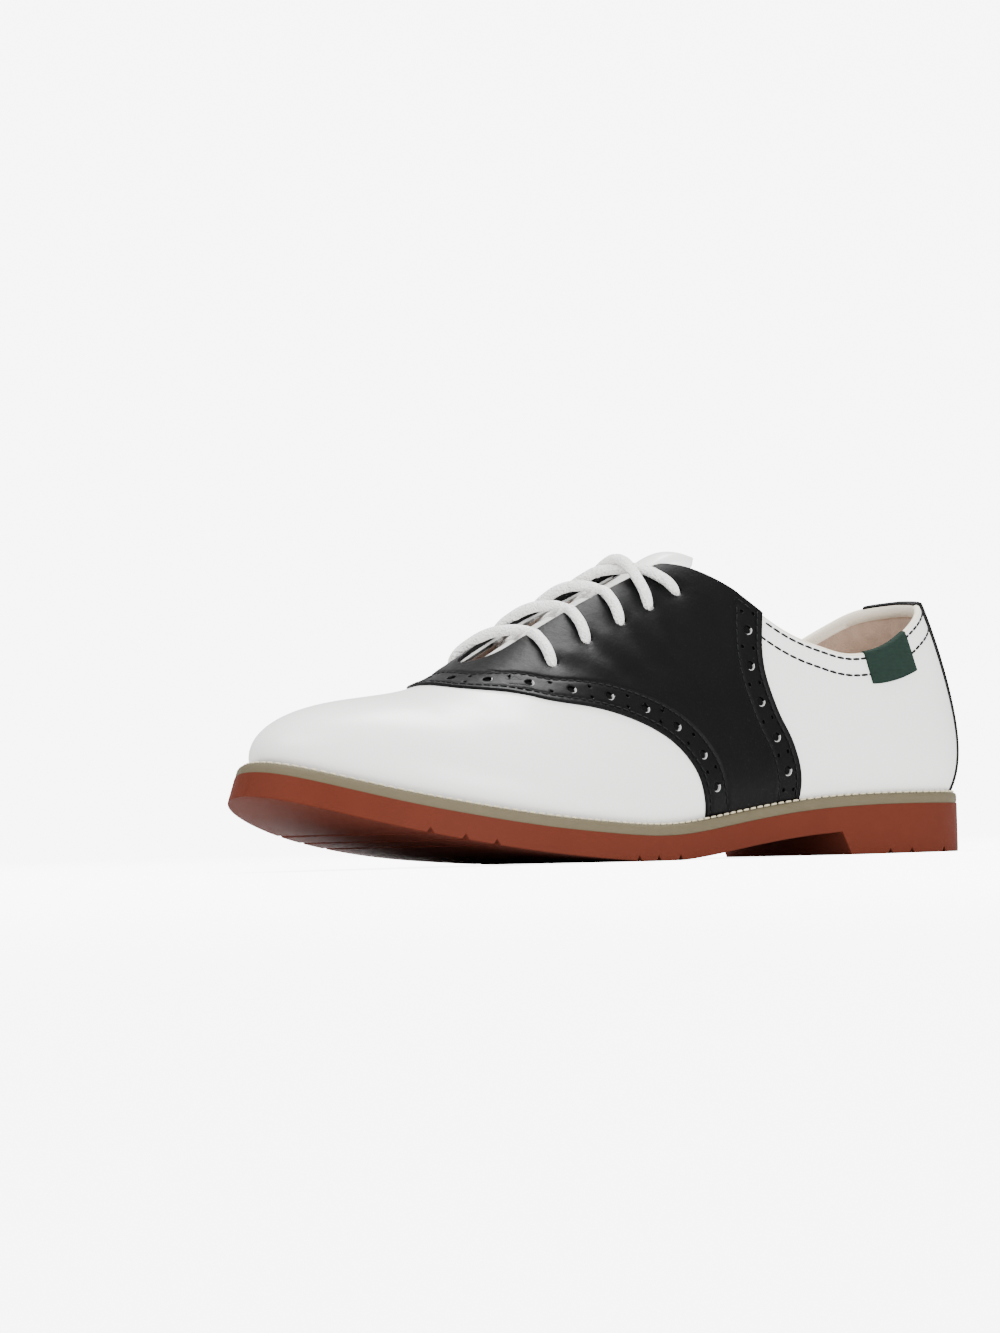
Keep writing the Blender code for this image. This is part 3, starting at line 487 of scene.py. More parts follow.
def add_rim(bm, radius, depth, highlight_places=(), highlight_radius=0.0, steps=3):
    # A rounded edge turned down by depth round every open edge. At the highlight places its lower
    # rear part takes the second material, a pale grey painted highlight where the light catches the
    # rim.
    highlight_places = np.array(highlight_places)
    bm.normal_update()
    outward = {}
    for edge in bm.edges:
        if len(edge.link_faces) != 1:
            continue
        face = edge.link_faces[0]
        middle = (edge.verts[0].co + edge.verts[1].co) / 2
        side = (edge.verts[1].co - edge.verts[0].co).cross(face.normal)
        if side.length < 1e-12:
            continue
        side.normalize()
        if side.dot(middle - face.calc_center_median()) < 0:
            side.negate()
        for vert in edge.verts:
            outward.setdefault(vert, []).append(side)
    start = {vert: (vert.co.copy(), vert.normal.copy(), sum(out, Vector()).normalized())
             for vert, out in outward.items()}
    turns = [math.pi / 2 * (k + 1) / steps for k in range(steps)]
    levels = [(radius * math.sin(turn), radius * (1 - math.cos(turn))) for turn in turns]
    rings = [{vert: vert for vert in start}]
    for outer, lower in levels + [(radius, depth)]:
        rings.append({vert: bm.verts.new(place + out * outer - normal * lower)
                      for vert, (place, normal, out) in start.items()})
    edges = [edge for edge in bm.edges
             if len(edge.link_faces) == 1 and all(vert in start for vert in edge.verts)]
    for edge in edges:
        loop = edge.link_loops[0]
        first, second = loop.vert, loop.link_loop_next.vert
        middle = np.array((first.co + second.co) / 2)
        # raw: this face takes the painted highlight
        raw = False
        if len(highlight_places):
            arms = middle - highlight_places
            arm = arms[np.argmin(size(arms))]
            raw = size(arm) < highlight_radius and unit(arm) @ HIGHLIGHT_TOWARDS > 0.35
        for upper, lower in zip(rings, rings[1:]):
            face = bm.faces.new([upper[second], upper[first], lower[first], lower[second]])
            face.material_index = int(raw)


# raw, if given, is the painted highlight's material, the places it is painted round and their radius
def panel(name, grids, radius, depth, material, node, weld=0.0001, raw=None):
    bm = bmesh.new()
    for grid, flip, keep in grids:
        add_grid(bm, grid, flip, keep)
    bmesh.ops.remove_doubles(bm, verts=bm.verts, dist=weld)
    if depth:
        add_rim(bm, radius, depth, *(raw[1:] if raw else ()))
    thing = bm_piece(name, bm, material, node)
    if raw:
        thing.data.materials.append(raw[0])
    return thing


def cut_holes(grid, places, radii):
    # Leaves out the faces inside each hole and draws its rim onto the circle
    keep = np.ones((grid.shape[0] - 1, grid.shape[1] - 1), bool)
    centres = (grid[:-1, :-1] + grid[1:, :-1] + grid[1:, 1:] + grid[:-1, 1:]) / 4
    for place, radius in zip(places, radii):
        inside = size(centres - place) < radius
        keep &= ~inside
        left_out = np.zeros(grid.shape[:2], int)
        for i in (0, 1):
            for j in (0, 1):
                left_out[i:i + len(inside), j:j + len(inside[0])] += inside
        edge = (left_out > 0) & (left_out < 4)
        grid[edge] = place + unit(grid[edge] - place) * radius
    return keep


def stitches(name, rows, material, node, length, radius, pitch, sink=0.0001):
    # Each row is (points, normals); a stitch is a short rounded bead lying on the surface
    bm = bmesh.new()
    shape = [(-0.5, 0.35), (-0.38, 0.85), (0.0, 1.0), (0.38, 0.85), (0.5, 0.35)]
    turns = [2 * math.pi * k / 6 for k in range(6)]
    for points, normals in rows:
        run = run_along(points)
        count = max(1, int(run[-1] / pitch))
        for k in range(count):
            at = (k + 0.5) * run[-1] / count
            place, normal = at_run(at, run, points), at_run(at, run, normals)
            tangent = unit(at_run(at + 0.0004, run, points) - place)
            across = unit(np.cross(normal, tangent))
            rings = []
            for share, wide in shape:
                middle = place + tangent * share * length + normal * (radius * 0.45 * wide - sink)
                rings.append([bm.verts.new(middle + radius * wide * (
                    across * math.cos(turn) + normal * 0.8 * math.sin(turn))) for turn in turns])
            for first, second in zip(rings, rings[1:]):
                for q in range(len(turns)):
                    bm.faces.new([first[q - 1], first[q], second[q], second[q - 1]])
            bm.faces.new(rings[0][::-1])
            bm.faces.new(rings[-1])
    bmesh.ops.recalc_face_normals(bm, faces=bm.faces)
    return bm_piece(name, bm, material, node, sharp=80)


def ring_loft(name, sections, material, node, closed=True, sharp=45):
    bm = bmesh.new()
    rings = [[bm.verts.new(point) for point in section] for section in sections]
    for first, second in zip(rings, rings[1:] + rings[:1] * closed):
        for k in range(len(first)):
            bm.faces.new([first[k - 1], second[k - 1], second[k], first[k]])
    if not closed:
        bm.faces.new(rings[0])
        bm.faces.new(rings[-1][::-1])
    bmesh.ops.recalc_face_normals(bm, faces=bm.faces)
    return bm_piece(name, bm, material, node, sharp=sharp)


def material(name, colour, roughness, bumps, mottle=0.06, mottle_scale=60.0, coat=0.0, sheen=0.0,
             specular=0.5):
    # Bumps are (kind, scale, strength, distance), where a kind X, Y or Z is a wave across that
    # axis. The colour varies softly by mottle.
    made = bpy.data.materials.new(name)
    made.use_nodes = True
    nodes, links = made.node_tree.nodes, made.node_tree.links
    shader = nodes["Principled BSDF"]
    place = nodes.new("ShaderNodeTexCoord")
    noise = nodes.new("ShaderNodeTexNoise")
    noise.inputs["Scale"].default_value = mottle_scale
    noise.inputs["Detail"].default_value = 5
    links.new(place.outputs["Object"], noise.inputs["Vector"])
    ramp = nodes.new("ShaderNodeMix")
    ramp.data_type = "RGBA"
    ramp.inputs[6].default_value = (*[c * (1 - mottle) for c in colour], 1)
    ramp.inputs[7].default_value = (*[min(1, c * (1 + mottle)) for c in colour], 1)
    links.new(noise.outputs["Fac"], ramp.inputs[0])
    links.new(ramp.outputs[2], shader.inputs["Base Color"])
    spread = nodes.new("ShaderNodeMapRange")
    spread.inputs["To Min"].default_value = roughness - 0.05
    spread.inputs["To Max"].default_value = roughness + 0.05
    links.new(noise.outputs["Fac"], spread.inputs["Value"])
    links.new(spread.outputs["Result"], shader.inputs["Roughness"])
    shader.inputs["Coat Weight"].default_value = coat
    shader.inputs["Coat Roughness"].default_value = 0.25
    shader.inputs["Sheen Weight"].default_value = sheen
    shader.inputs["Specular IOR Level"].default_value = specular
    before = None
    for kind, scale, strength, distance in bumps:
        if kind == "voronoi":
            texture = nodes.new("ShaderNodeTexVoronoi")
            output = texture.outputs["Distance"]
        elif kind == "noise":
            texture = nodes.new("ShaderNodeTexNoise")
            texture.inputs["Detail"].default_value = 6
            output = texture.outputs["Fac"]
        else:
            texture = nodes.new("ShaderNodeTexWave")
            texture.bands_direction = kind
            texture.inputs["Distortion"].default_value = 0.6
            output = texture.outputs["Fac"]
        links.new(place.outputs["Object"], texture.inputs["Vector"])
        texture.inputs["Scale"].default_value = scale
        bump = nodes.new("ShaderNodeBump")
        bump.inputs["Strength"].default_value = strength
        bump.inputs["Distance"].default_value = distance
        links.new(output, bump.inputs["Height"])
        if before:
            links.new(before.outputs["Normal"], bump.inputs["Normal"])
        before = bump
    links.new(before.outputs["Normal"], shader.inputs["Normal"])
    return made


WHITE = material("white_leather", (0.80, 0.797, 0.775), 0.36,
                 [("voronoi", 1500, 0.12, 0.00006), ("noise", 90, 0.10, 0.0004)], 0.02, 25, coat=0.12)
BLACK = material("black_leather", (0.0012, 0.0012, 0.0013), 0.42,
                 [("voronoi", 1300, 0.22, 0.00008), ("noise", 420, 0.30, 0.0003)], 0.25, 90,
                 specular=0.078)
BRICK = material("brick_rubber", (0.079, 0.0178, 0.0100), 0.55,
                 [("noise", 700, 0.20, 0.0001), ("Z", 160, 0.05, 0.0001)], 0.10, 70, specular=0.03)
KHAKI = material("khaki_welt", (0.088, 0.073, 0.043), 0.62,
                 [("noise", 900, 0.25, 0.0001)], 0.12, 220, specular=0.15)
FELT = material("lining_felt", (0.36, 0.25, 0.185), 0.95,
                [("noise", 1500, 0.7, 0.0004), ("noise", 260, 0.5, 0.0006)], 0.22, 300,
                sheen=0.2)
CREAM = material("cream_binding", (0.66, 0.60, 0.49), 0.9,
                 [("noise", 1700, 0.6, 0.0003), ("voronoi", 1100, 0.4, 0.0002)], 0.08, 400, sheen=0.2)
GREEN = material("green_tape", (0.0075, 0.0185, 0.0135), 0.85,
                 [("Z", 700, 0.5, 0.0003), ("Y", 700, 0.4, 0.0002)], 0.3, 500, specular=0.12)
LACE = material("white_lace", (0.80, 0.79, 0.77), 0.9,
                [("voronoi", 1250, 0.9, 0.0007), ("noise", 1400, 0.6, 0.0004)], 0.09, 500, sheen=0.1)
THREAD = material("black_thread", (0.004, 0.004, 0.0045), 0.7,
                  [("noise", 3000, 0.4, 0.0002)], 0.2, 900, specular=0.15)
PALE_THREAD = material("pale_thread", (0.50, 0.44, 0.30), 0.8,
                       [("noise", 3000, 0.4, 0.0002)], 0.1, 900)
FOOTBED = material("footbed_leather", (0.50, 0.37, 0.25), 0.7,
                   [("voronoi", 900, 0.2, 0.0001), ("noise", 300, 0.2, 0.0003)], 0.08, 60)
# Pale grey painted highlight for the lower rear rims of the large holes
RIM_HIGHLIGHT = material("painted_rim_highlight", (0.34, 0.335, 0.33), 0.8,
                    [("noise", 2500, 0.3, 0.0002)], 0.1, 700)
BACKING = material("black_backing", (0.0022, 0.0022, 0.0022), 0.9,
                   [("noise", 2000, 0.4, 0.0002)], 0.1, 500, specular=0.1)

# The white upper with its lining and binding. Its edge stays below the binding behind, and
# further below the black facing ahead.
OVERLAY_TOP = 0.0010
FACING_SET_BACK, BINDING_SET_BACK = 0.0026, 0.0009
ups = np.linspace(0, 1, 92)[None, :]
even = np.linspace(0, 1, 321)
# Closer steps at the heel and the toe, where the form turns
along = (even - 0.05 * np.sin(2 * math.pi * even))[:, None]
under_facing = np.clip((along - 0.346) / 0.006, 0, 1) * (along < 0.70)
behind = np.clip((0.352 - along) / 0.006, 0, 1)
set_back = FACING_SET_BACK * under_facing + BINDING_SET_BACK * behind
outside, lining = [], []
for side in SIDES:
    flip = side == LATERAL
    limit = top_edge(side, along) - set_back / rib_length(side, along)
    outside.append((skin_at(side, along, ups * limit, 0.0), flip, None))
    coarse = along[::2]
    lining.append((skin_at(side, coarse, ups[:, ::2] * top_edge(side, coarse) * 0.998,
                           -UPPER_WALL + 0.0001), not flip, None))
panel("upper_white", outside, 0.0003, 0.0010, WHITE, "upper", weld=0.0003)
panel("upper_lining", lining, 0.0, 0.0, FELT, None, weld=0.0003)

# Profiles across the edge: outward from the leather, up along it
BINDING = [(-0.0001, -0.0016), (0.0000, -0.0004), (-0.0004, 0.0001), (-0.0010, 0.0003),
           (-0.0017, 0.0001), (-0.0022, -0.0006), (-0.0024, -0.0016), (-0.0023, -0.0038),
           (-0.0018, -0.0042)]
FACING_FOLD = [(0.0010, -0.0006), (0.0009, 0.0001), (0.0005, 0.0005), (-0.0001, 0.0006),
               (-0.0008, 0.0004), (-0.0012, -0.0002), (-0.0013, -0.0010)]
for side in SIDES:
    for name, start, end, shape, mat, slot_name in (
            ("binding", 0.0, 0.3440, BINDING, CREAM, "footbed_tan"),
            ("facing_fold", 0.3400, 0.4560, FACING_FOLD, BLACK, "leather_black")):
        along = np.linspace(start, end, 240)
        up = top_edge(side, along)
        rim = skin_at(side, along, up, 0.0)
        normal = last_normal(side, along, up)
        lift = unit(rim - last_point(side, along, up - 0.01))
        profile = [rim + normal * out + lift * high for out, high in shape]
        panel(name + "_" + SIDE_NAMES[side], [(np.stack(profile, 1), side == LATERAL, None)], 0, 0,
              mat, None)

# The black saddle: two stitch rows along each edge, with the holes between them. Holes are
# placed by (along, up).
FRONT_ROW, BAND_MIDDLE, INNER_ROW = 0.0017, 0.0053, 0.0092
FRONT_HOLES = [(0.441, 0.103), (0.454, 0.218), (0.485, 0.338), (0.526, 0.434), (0.571, 0.514),
               (0.618, 0.566), (0.660, 0.644)]
REAR_HOLES = [(0.342, 0.100), (0.352, 0.211), (0.365, 0.333), (0.368, 0.454), (0.362, 0.566)]
LARGE_HOLE, SMALL_HOLE, PAIR_APART = 0.0017, 0.00085, 0.0021
EYELET_RADIUS = 0.0021
# Where the saddle starts above the welt, as a share of the way up
LOWEST = 0.004


def band_rows(side, front):
    # Lines in (along, up) parallel to the saddle's front or rear edge
    curve, last = (saddle_front, 0.985) if front else (saddle_rear, 0.612)
    up = np.linspace(LOWEST, last, 240)
    along = curve(up)
    towards = -1 if front == (side == LATERAL) else 1
    rows = {}
    for name, distance in (("edge", 0.0), ("outer", FRONT_ROW), ("middle", BAND_MIDDLE),
                           ("inner", INNER_ROW)):
        rows[name] = walk(side, along, up, towards, distance, 8) if distance else (along, up)
    return rows


BANDS = {(side, front): band_rows(side, front) for side in SIDES for front in (True, False)}


def band_holes(side, front):
    rows = BANDS[side, front]
    points = last_point(side, *rows["middle"])
    run = run_along(points)
    large = []
    for place in FRONT_HOLES if front else REAR_HOLES:
        large.append(run[np.argmin(size(points - last_point(side, *place)))])
    pitch = np.mean(np.diff(large))
    while front and large[-1] + pitch < run[-1] - 0.002:
        large.append(large[-1] + pitch)
    centres = [at_run(value, run, points) for value in large]
    radii = [LARGE_HOLE] * len(large)
    outer, inner = last_point(side, *rows["outer"]), last_point(side, *rows["inner"])
    across = unit(inner - outer)
    pairs = [(a + b) / 2 for a, b in zip(large, large[1:])]
    pairs += [large[0] - pitch / 2, large[-1] + pitch / 2]
    for value in pairs:
        if not 0.003 < value < run[-1] - 0.001:
            continue
        centre, out = at_run(value, run, points), at_run(value, run, across)
        for sign in (-1, 1):
            centres.append(centre + sign * out * PAIR_APART)
            radii.append(SMALL_HOLE)
    return centres, radii


def saddle_grid(side, across_count=230, row_count=176):
    # Each row's height depends on its own place along the edge, so it is found by steps
    spread = np.linspace(0, 1, across_count)[:, None]
    share = 1 - np.linspace(1, 0, row_count)[None, :] ** 1.1
    up = share + 0 * spread
    for _ in range(60):
        along = (1 - spread) * saddle_rear(up) + spread * saddle_front(up)
        up = (up + LOWEST + share * (top_edge(side, along) - LOWEST)) / 2
    return along, up


def line_distance(points, line):
    best = np.full(points.shape[:-1], np.inf)
    for place in line:
        best = np.minimum(best, size(points - place))
    return best


SEAM_DEPTH, SEAM_WIDTH, BAND_STEP = 0.00022, 0.0007, 0.00030
for side in SIDES:
    along, up = saddle_grid(side)
    base = last_point(side, along, up)
    lift = np.full(along.shape, OVERLAY_TOP)
    for front in (True, False):
        rows = BANDS[side, front]
        for name in ("outer", "inner"):
            away = line_distance(base, last_point(side, *rows[name]))
            lift -= SEAM_DEPTH * np.exp(-(away / SEAM_WIDTH) ** 2)
        edge_away = line_distance(base, last_point(side, *rows["edge"]))
        past_band = (edge_away - INNER_ROW - 0.0004) / 0.00035
        lift += BAND_STEP / (1 + np.exp(-past_band)) - BAND_STEP / 2
    grid = skin_at(side, along, up, lift)
    places, radii = [], []
    for front in (True, False):
        more, sizes = band_holes(side, front)
        places += more
        radii += sizes
    places += EYELET_POINTS[side]
    radii += [EYELET_RADIUS] * len(EYELETS)
    normals = last_normal(side, along, up)
    for k, place in enumerate(places):
        index = np.unravel_index(np.argmin(size(base - place)), along.shape)
        places[k] = np.asarray(place) + normals[index] * (lift[index] + relief(side, base[index]))
    keep = cut_holes(grid, places, radii)
    # The large holes get a painted highlight on the lower rear part of their rims
    punched = [place for place, radius in zip(places, radii) if radius == LARGE_HOLE]
    panel("saddle_" + SIDE_NAMES[side], [(grid, side == LATERAL, keep)], 0.00026, 0.0013, BLACK,
          "saddle" if side == LATERAL else None, weld=0.00002,
          raw=(RIM_HIGHLIGHT, punched, LARGE_HOLE * 1.4))
    # A dark sheet just under the saddle, seen through the small holes
    shade = skin_at(side, along[6:-6:3, 3::3], up[6:-6:3, 3::3], 0.00012)
    middles = (shade[:-1, :-1] + shade[1:, 1:]) / 2
    clear = np.ones(middles.shape[:2], bool)
    for hole in EYELET_POINTS[side]:
        clear &= size(middles - hole) > EYELET_RADIUS + 0.0008
    panel("saddle_backing_" + SIDE_NAMES[side], [(shade, side == LATERAL, clear)], 0, 0, BACKING,
          None)


def surface_row(side, line, off, first=0):
    along, up = line[0][first:], line[1][first:]
    return skin_at(side, along, up, off), last_normal(side, along, up)


black_rows, fold_rows = [], []
for side in SIDES:
    towards = -1 if side == MEDIAL else 1
    for front in (True, False):
        for name in ("outer", "inner"):
            black_rows.append(surface_row(side, BANDS[side, front][name], OVERLAY_TOP - 0.0001, 4))
    # Along the facing's top and down the throat's edge
    along = np.linspace(0.350, 0.690, 260)
    line = walk(side, along, top_edge(side, along), towards, 0.0019, 3)
    black_rows.append(surface_row(side, line, OVERLAY_TOP))
    along = np.linspace(0.046, 0.334, 200)
    for distance in (0.0018, 0.0072):
        line = walk(side, along, top_edge(side, along), towards, distance, 6)
        fold_rows.append(surface_row(side, line, 0.0))
stitches("saddle_stitches", black_rows, THREAD, None, 0.0021, 0.00030, 0.0026)
stitches("topline_stitches", fold_rows, THREAD, None, 0.0028, 0.00042, 0.0031)


def folded(side, along, top, off, drop, half_turn=1.0, inside_gap=0.0026):
    # The last part of a strip that goes over the collar's edge and, by drop, down inside
    rim = skin_at(side, along, top, 0.0)
    normal = last_normal(side, along, top)
    lift = unit(rim - last_point(side, along, np.asarray(top) - 0.01))
    turn = np.linspace(0, math.pi * half_turn, 7)
    middle, half = (off - inside_gap) / 2, (off + inside_gap) / 2
    over = [rim + normal * (middle + half * math.cos(t)) + lift * (0.0010 * math.sin(t) - 0.0002)
            for t in turn]
    inner = rim - normal * inside_gap
    return over + [inner - lift * drop * share for share in (0.35, 0.7, 1.0) if drop]


STRIP_OFF, TAB_OFF = 0.0015, 0.0008
grids = []
for side in SIDES:
    columns = []
    for part in np.linspace(0, 1, 26):
        top = top_edge(side, part * BACK_STRIP[-1][1])
        ups = np.linspace(0.006, 1.0, 70)[:-1] * top
        strip = part * back_strip_half(ups)
        outer = skin_at(side, strip, ups, STRIP_OFF)
        columns.append(np.vstack([outer, folded(side, strip[-1], top, STRIP_OFF, 0.0, 0.62)]))
    grids.append((np.array(columns), side == LATERAL, None))
panel("back_strip_leather", grids, 0.0003, 0.0011, BLACK, "back_strip",
      weld=0.0003)
rows = []
for side in SIDES:
    up = np.linspace(0.01, 0.535, 120)
    rows.append(surface_row(side, (back_strip_half(up) - 0.0062, up), 0.0014))
stitches("back_strip_stitches", rows, THREAD, None, 0.0021, 0.00028, 0.0026)

TAB_TOP, TAB_LOW, TAB_DROPS = (0.148, 0.216), (0.144, 0.212), (0.0133, 0.0103)
columns = []
for top_along, low_along, drop in np.linspace(*zip(TAB_TOP, TAB_LOW, TAB_DROPS), 40):
    top = top_edge(LATERAL, top_along)
    low = top_edge(LATERAL, low_along) - drop / rib_length(LATERAL, low_along)
    share = np.linspace(0, 1, 40)[:-1]
    outer = skin_at(LATERAL, low_along + share * (top_along - low_along), low + share * (top - low),
                    TAB_OFF)
    columns.append(np.vstack([outer, folded(LATERAL, top_along, top, TAB_OFF, 0.006)]))
panel("collar_tab_tape", [(np.array(columns), True, None)], 0.0002, 0.0009, GREEN, "collar_tab")


def along_at_ridge(station):
    share = np.linspace(0, 1, OUTLINE_POINTS)
    return np.interp(station, ridge_station(share), share)


# The tongue: its top edge is bowed, its sides slip under the facings, and its top bends down
tongue_half = table_spline(TONGUE)
TONGUE_TOP, TONGUE_FOOT, TOP_ROUND = 0.1000, 0.1960, 0.0200
TONGUE_WIDEST, WIDE_UP_TO = 0.0174, 0.125
TONGUE_SWELL, SWELL_AT, SWELL_WIDTH = 0.0018, 0.113, 0.008
TONGUE_DROOP, DROOP_FROM, DROOP_RUN = 0.0042, 0.111, 0.011
grids = []
for side in SIDES:
    share = np.linspace(0, 1, 26)[None, :]
    run = np.linspace(0, 1, 140)[:, None]
    stations = TONGUE_TOP + (TONGUE_FOOT - TONGUE_TOP) * run
    bowed = stations + TOP_ROUND * (1 - np.sqrt(1 - (0.985 * share) ** 2)) * (1 - run)
    along = along_at_ridge(bowed)
    half = np.minimum(tongue_half(stations), TONGUE_WIDEST)
    half = np.where(stations < WIDE_UP_TO, TONGUE_WIDEST, half)
    away = share * half
    up = 1 - away / rib_length(side, along)
    opening = throat_half(side, np.minimum(stations, THROAT_ROUND)) - 0.0030
    sink = -(UPPER_WALL + 0.0008) - 0.0012 * np.clip((away - opening) / 0.0030, 0, 1)
    sink = sink - TONGUE_DROOP * np.clip((DROOP_FROM - bowed) / DROOP_RUN, 0, 1) ** 2
    sink = sink + TONGUE_SWELL * np.exp(-((bowed - SWELL_AT) / SWELL_WIDTH) ** 2)
    grids.append((skin_at(side, along, up, sink), side == MEDIAL, None))
panel("tongue_leather", grids, 0.0005, 0.0017, WHITE, "tongue", weld=0.0003)

LACE_RADIUS, LACE_STEP, LACE_SIDES = 0.0018, 0.0006, 16
OVER_FACING = OVERLAY_TOP + LACE_RADIUS * 0.92
# Stops between one eyelet and the next: share of the way, offset from the surface. A strand
# runs over its own facing, over or under the other strand, and dives under the far facing.
RUN_OVER = [(0.10, OVER_FACING), (0.24, OVER_FACING + 0.0003), (0.34, 0.0026), (0.43, 0.0014),
            (0.50, 0.0004), (0.58, -0.0016), (0.66, -0.0034), (0.78, -0.0037), (0.96, -0.0033)]
RUN_UNDER = [(0.14, OVER_FACING), (0.30, OVER_FACING), (0.37, 0.0014), (0.43, -0.0010),
             (0.50, -0.0024), (0.58, -0.0028), (0.66, -0.0032), (0.78, -0.0037), (0.96, -0.0033)]
# At the top the strands stay outside both facings
TOP_OVER = [(0.14, OVER_FACING), (0.32, OVER_FACING + 0.0008), (0.42, 0.0046), (0.50, 0.0046),
            (0.60, 0.0040), (0.75, OVER_FACING), (0.90, OVER_FACING)]
TOP_UNDER = [(0.14, OVER_FACING), (0.32, OVER_FACING - 0.0002), (0.42, 0.0014), (0.50, 0.0010),
             (0.60, 0.0018), (0.72, OVER_FACING), (0.90, OVER_FACING)]


def strand_points(start_side):
    # The middle line of one strand, from under the first pair of eyelets to the fifth pair
    points = []

    def put(sign, along, away, off):
        side = LATERAL if sign * away >= 0 else MEDIAL
        up = 1 - abs(away) / rib_length(side, along)
        points.append(skin_at(side, along, up, off))

    sign = 1 if start_side == LATERAL else -1
    first_along, first_away = eyelet_at(start_side, 0)
    for away, off in ((0.0, -0.0042), (0.35, -0.0040), (0.75, -0.0036), (0.94, -0.0030)):
        put(sign, first_along, first_away * away, off)
    for k in range(len(EYELETS) - 1):
        near, far = (LATERAL, MEDIAL) if sign > 0 else (MEDIAL, LATERAL)
        a0, d0 = eyelet_at(near, k)
        a1, d1 = eyelet_at(far, k + 1)
        put(sign, a0, d0 + 0.0002, -0.0012)
        put(sign, a0, d0, 0.0006)
        put(sign, a0 + 0.02 * (a1 - a0), d0 - 0.0018, OVER_FACING - 0.0006)
        if k < len(EYELETS) - 2:
            stops = RUN_OVER if sign < 0 else RUN_UNDER
        else:
            stops = TOP_OVER if sign > 0 else TOP_UNDER
        for share, off in stops:
            put(sign, a0 + share * (a1 - a0), d0 - share * (d0 + d1), off)
        sign = -sign
    along, away = eyelet_at(LATERAL if sign > 0 else MEDIAL, len(EYELETS) - 1)
    for far, off in ((0.0, 0.0010), (0.0002, -0.0012), (0.0002, -0.0030)):
        put(sign, along, away + far, off)
    return np.array(points)


def lace_tube(name, points, node):
    run = run_along(points)
    smooth = at_run(np.arange(0, run[-1], LACE_STEP), run, points)
    for _ in range(14):
        smooth[1:-1] = smooth[1:-1] * 0.5 + (smooth[:-2] + smooth[2:]) * 0.25
    tangent = unit(np.gradient(smooth, axis=0))
    across = unit(np.cross(tangent[0], (0, 0, 1.0)))
    sections = []
    for point, ahead in zip(smooth, tangent):
        across = unit(across - ahead * (across @ ahead))
        other = np.cross(ahead, across)
        sections.append([point + LACE_RADIUS * (across * math.cos(a) + other * math.sin(a))
                         for a in (2 * math.pi * q / LACE_SIDES for q in range(LACE_SIDES))])
    return ring_loft(name, sections, LACE, node, closed=False)


lateral_strand = lace_tube("lace_lateral_start", strand_points(LATERAL), "lace_crossing_1")
for node in ("lace_crossing_2", "lace_crossing_3", "lace_crossing_4"):
    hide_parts(node)
lace_tube("lace_medial_start", strand_points(MEDIAL), None)

# The welt with its lockstitch; its profile is (inward, rise), with a groove for the stitches
WELT_PROFILE = [(0.0, 0.00005), (-0.00015, 0.0012), (-0.00015, 0.0024), (0.0001, 0.0031),
                (0.0005, 0.0034), (0.0010, 0.0035), (0.0016, 0.0034), (0.0020, 0.0031),
                (0.0024, 0.0034), (0.0030, 0.0036)]
outer = inset(SOLE_CURVE, SMALL / 2)
inner = inset(FEATHER, UPPER_WALL)
sections = []
for out_point, in_point in zip(outer, inner):
    ahead = unit(in_point - out_point)
    section = [on_plate(*(out_point + ahead * across), rise) for across, rise in WELT_PROFILE]
    section += [on_plate(*in_point, 0.0036), on_plate(*in_point, 0.0003)]
    sections.append(section)
ring_loft("welt_strip", sections, KHAKI, "welt")
line = inset(outer, 0.0011)
ring = np.vstack([line, line[:1]])
rows = [(on_plate(ring[:, 0], ring[:, 1], 0.0037), np.tile((0.0, 0.0, 1.0), (len(ring), 1)))]
stitches("welt_stitches", rows, PALE_THREAD, None, 0.0024, 0.00048, 0.0031)

# The sole, lofted from heel to toe over cross sections, with more of them at each groove
EDGE_ROUND, GROOVE_HALF, GROOVE_DEPTH = 0.0007, 0.0011, 0.0017
share = np.linspace(0, 1, OUTLINE_POINTS)
halves = [(stations(share), across(share)) for stations, across in half_curves(SOLE_CURVE)]
even = 0.0002 + (LENGTH - 0.0006) * (1 - np.cos(np.linspace(0, math.pi, 260))) / 2
marks = [groove + step for groove in GROOVES
         for step in (-GROOVE_HALF, -0.0006, 0.0, 0.0006, GROOVE_HALF)]
marks = np.array(marks + [HEEL_BREAST, HEEL_BREAST + BREAST_LEAN, *BALL_FLAT])
even = even[np.abs(even[:, None] - marks[None]).min(1) > 0.0002]
stations = np.sort(np.r_[even, marks])
stations = stations[(stations <= HEEL_BREAST) | (stations >= HEEL_BREAST + BREAST_LEAN)]
sections = []
for station in stations:
    across = [np.interp(station, *half) for half in halves]
    top = on_plate(np.array(station), 0.0, 0.0)
    low = on_plate(np.array(station), 0.0, -SOLE_THICK)
    if station <= HEEL_BREAST:
        low_y, low_z = top[1], 0.0
    else:
        low_y, low_z = low[1], max(low[2], 0.0)
    nearest = min(abs(station - groove) for groove in GROOVES)
    low_z += max(0.0, GROOVE_DEPTH * (1 - nearest / GROOVE_HALF))
    height = top[2] - low_z
    # Rows up the side: how far inward, in edge rounds, and the share of the height
    rows = [(into, rise * EDGE_ROUND / height)
            for into, rise in ((1.0, 0.0), (0.30, 0.08), (0.08, 0.30), (0.0, 1.0))]
    rows += [(0.0, share) for share in (0.35, 0.7, 0.95, 1.0)]
    lateral, medial = ([(value + ACROSS_SHIFT + inward * into * EDGE_ROUND,
                         low_y + (top[1] - low_y) * share, low_z + height * share)
                        for into, share in rows] for value, inward in zip(across, (-1, 1)))
    sections.append(lateral + medial[::-1])
ring_loft("outsole_rubber", sections, BRICK, "outsole", closed=False, sharp=30)

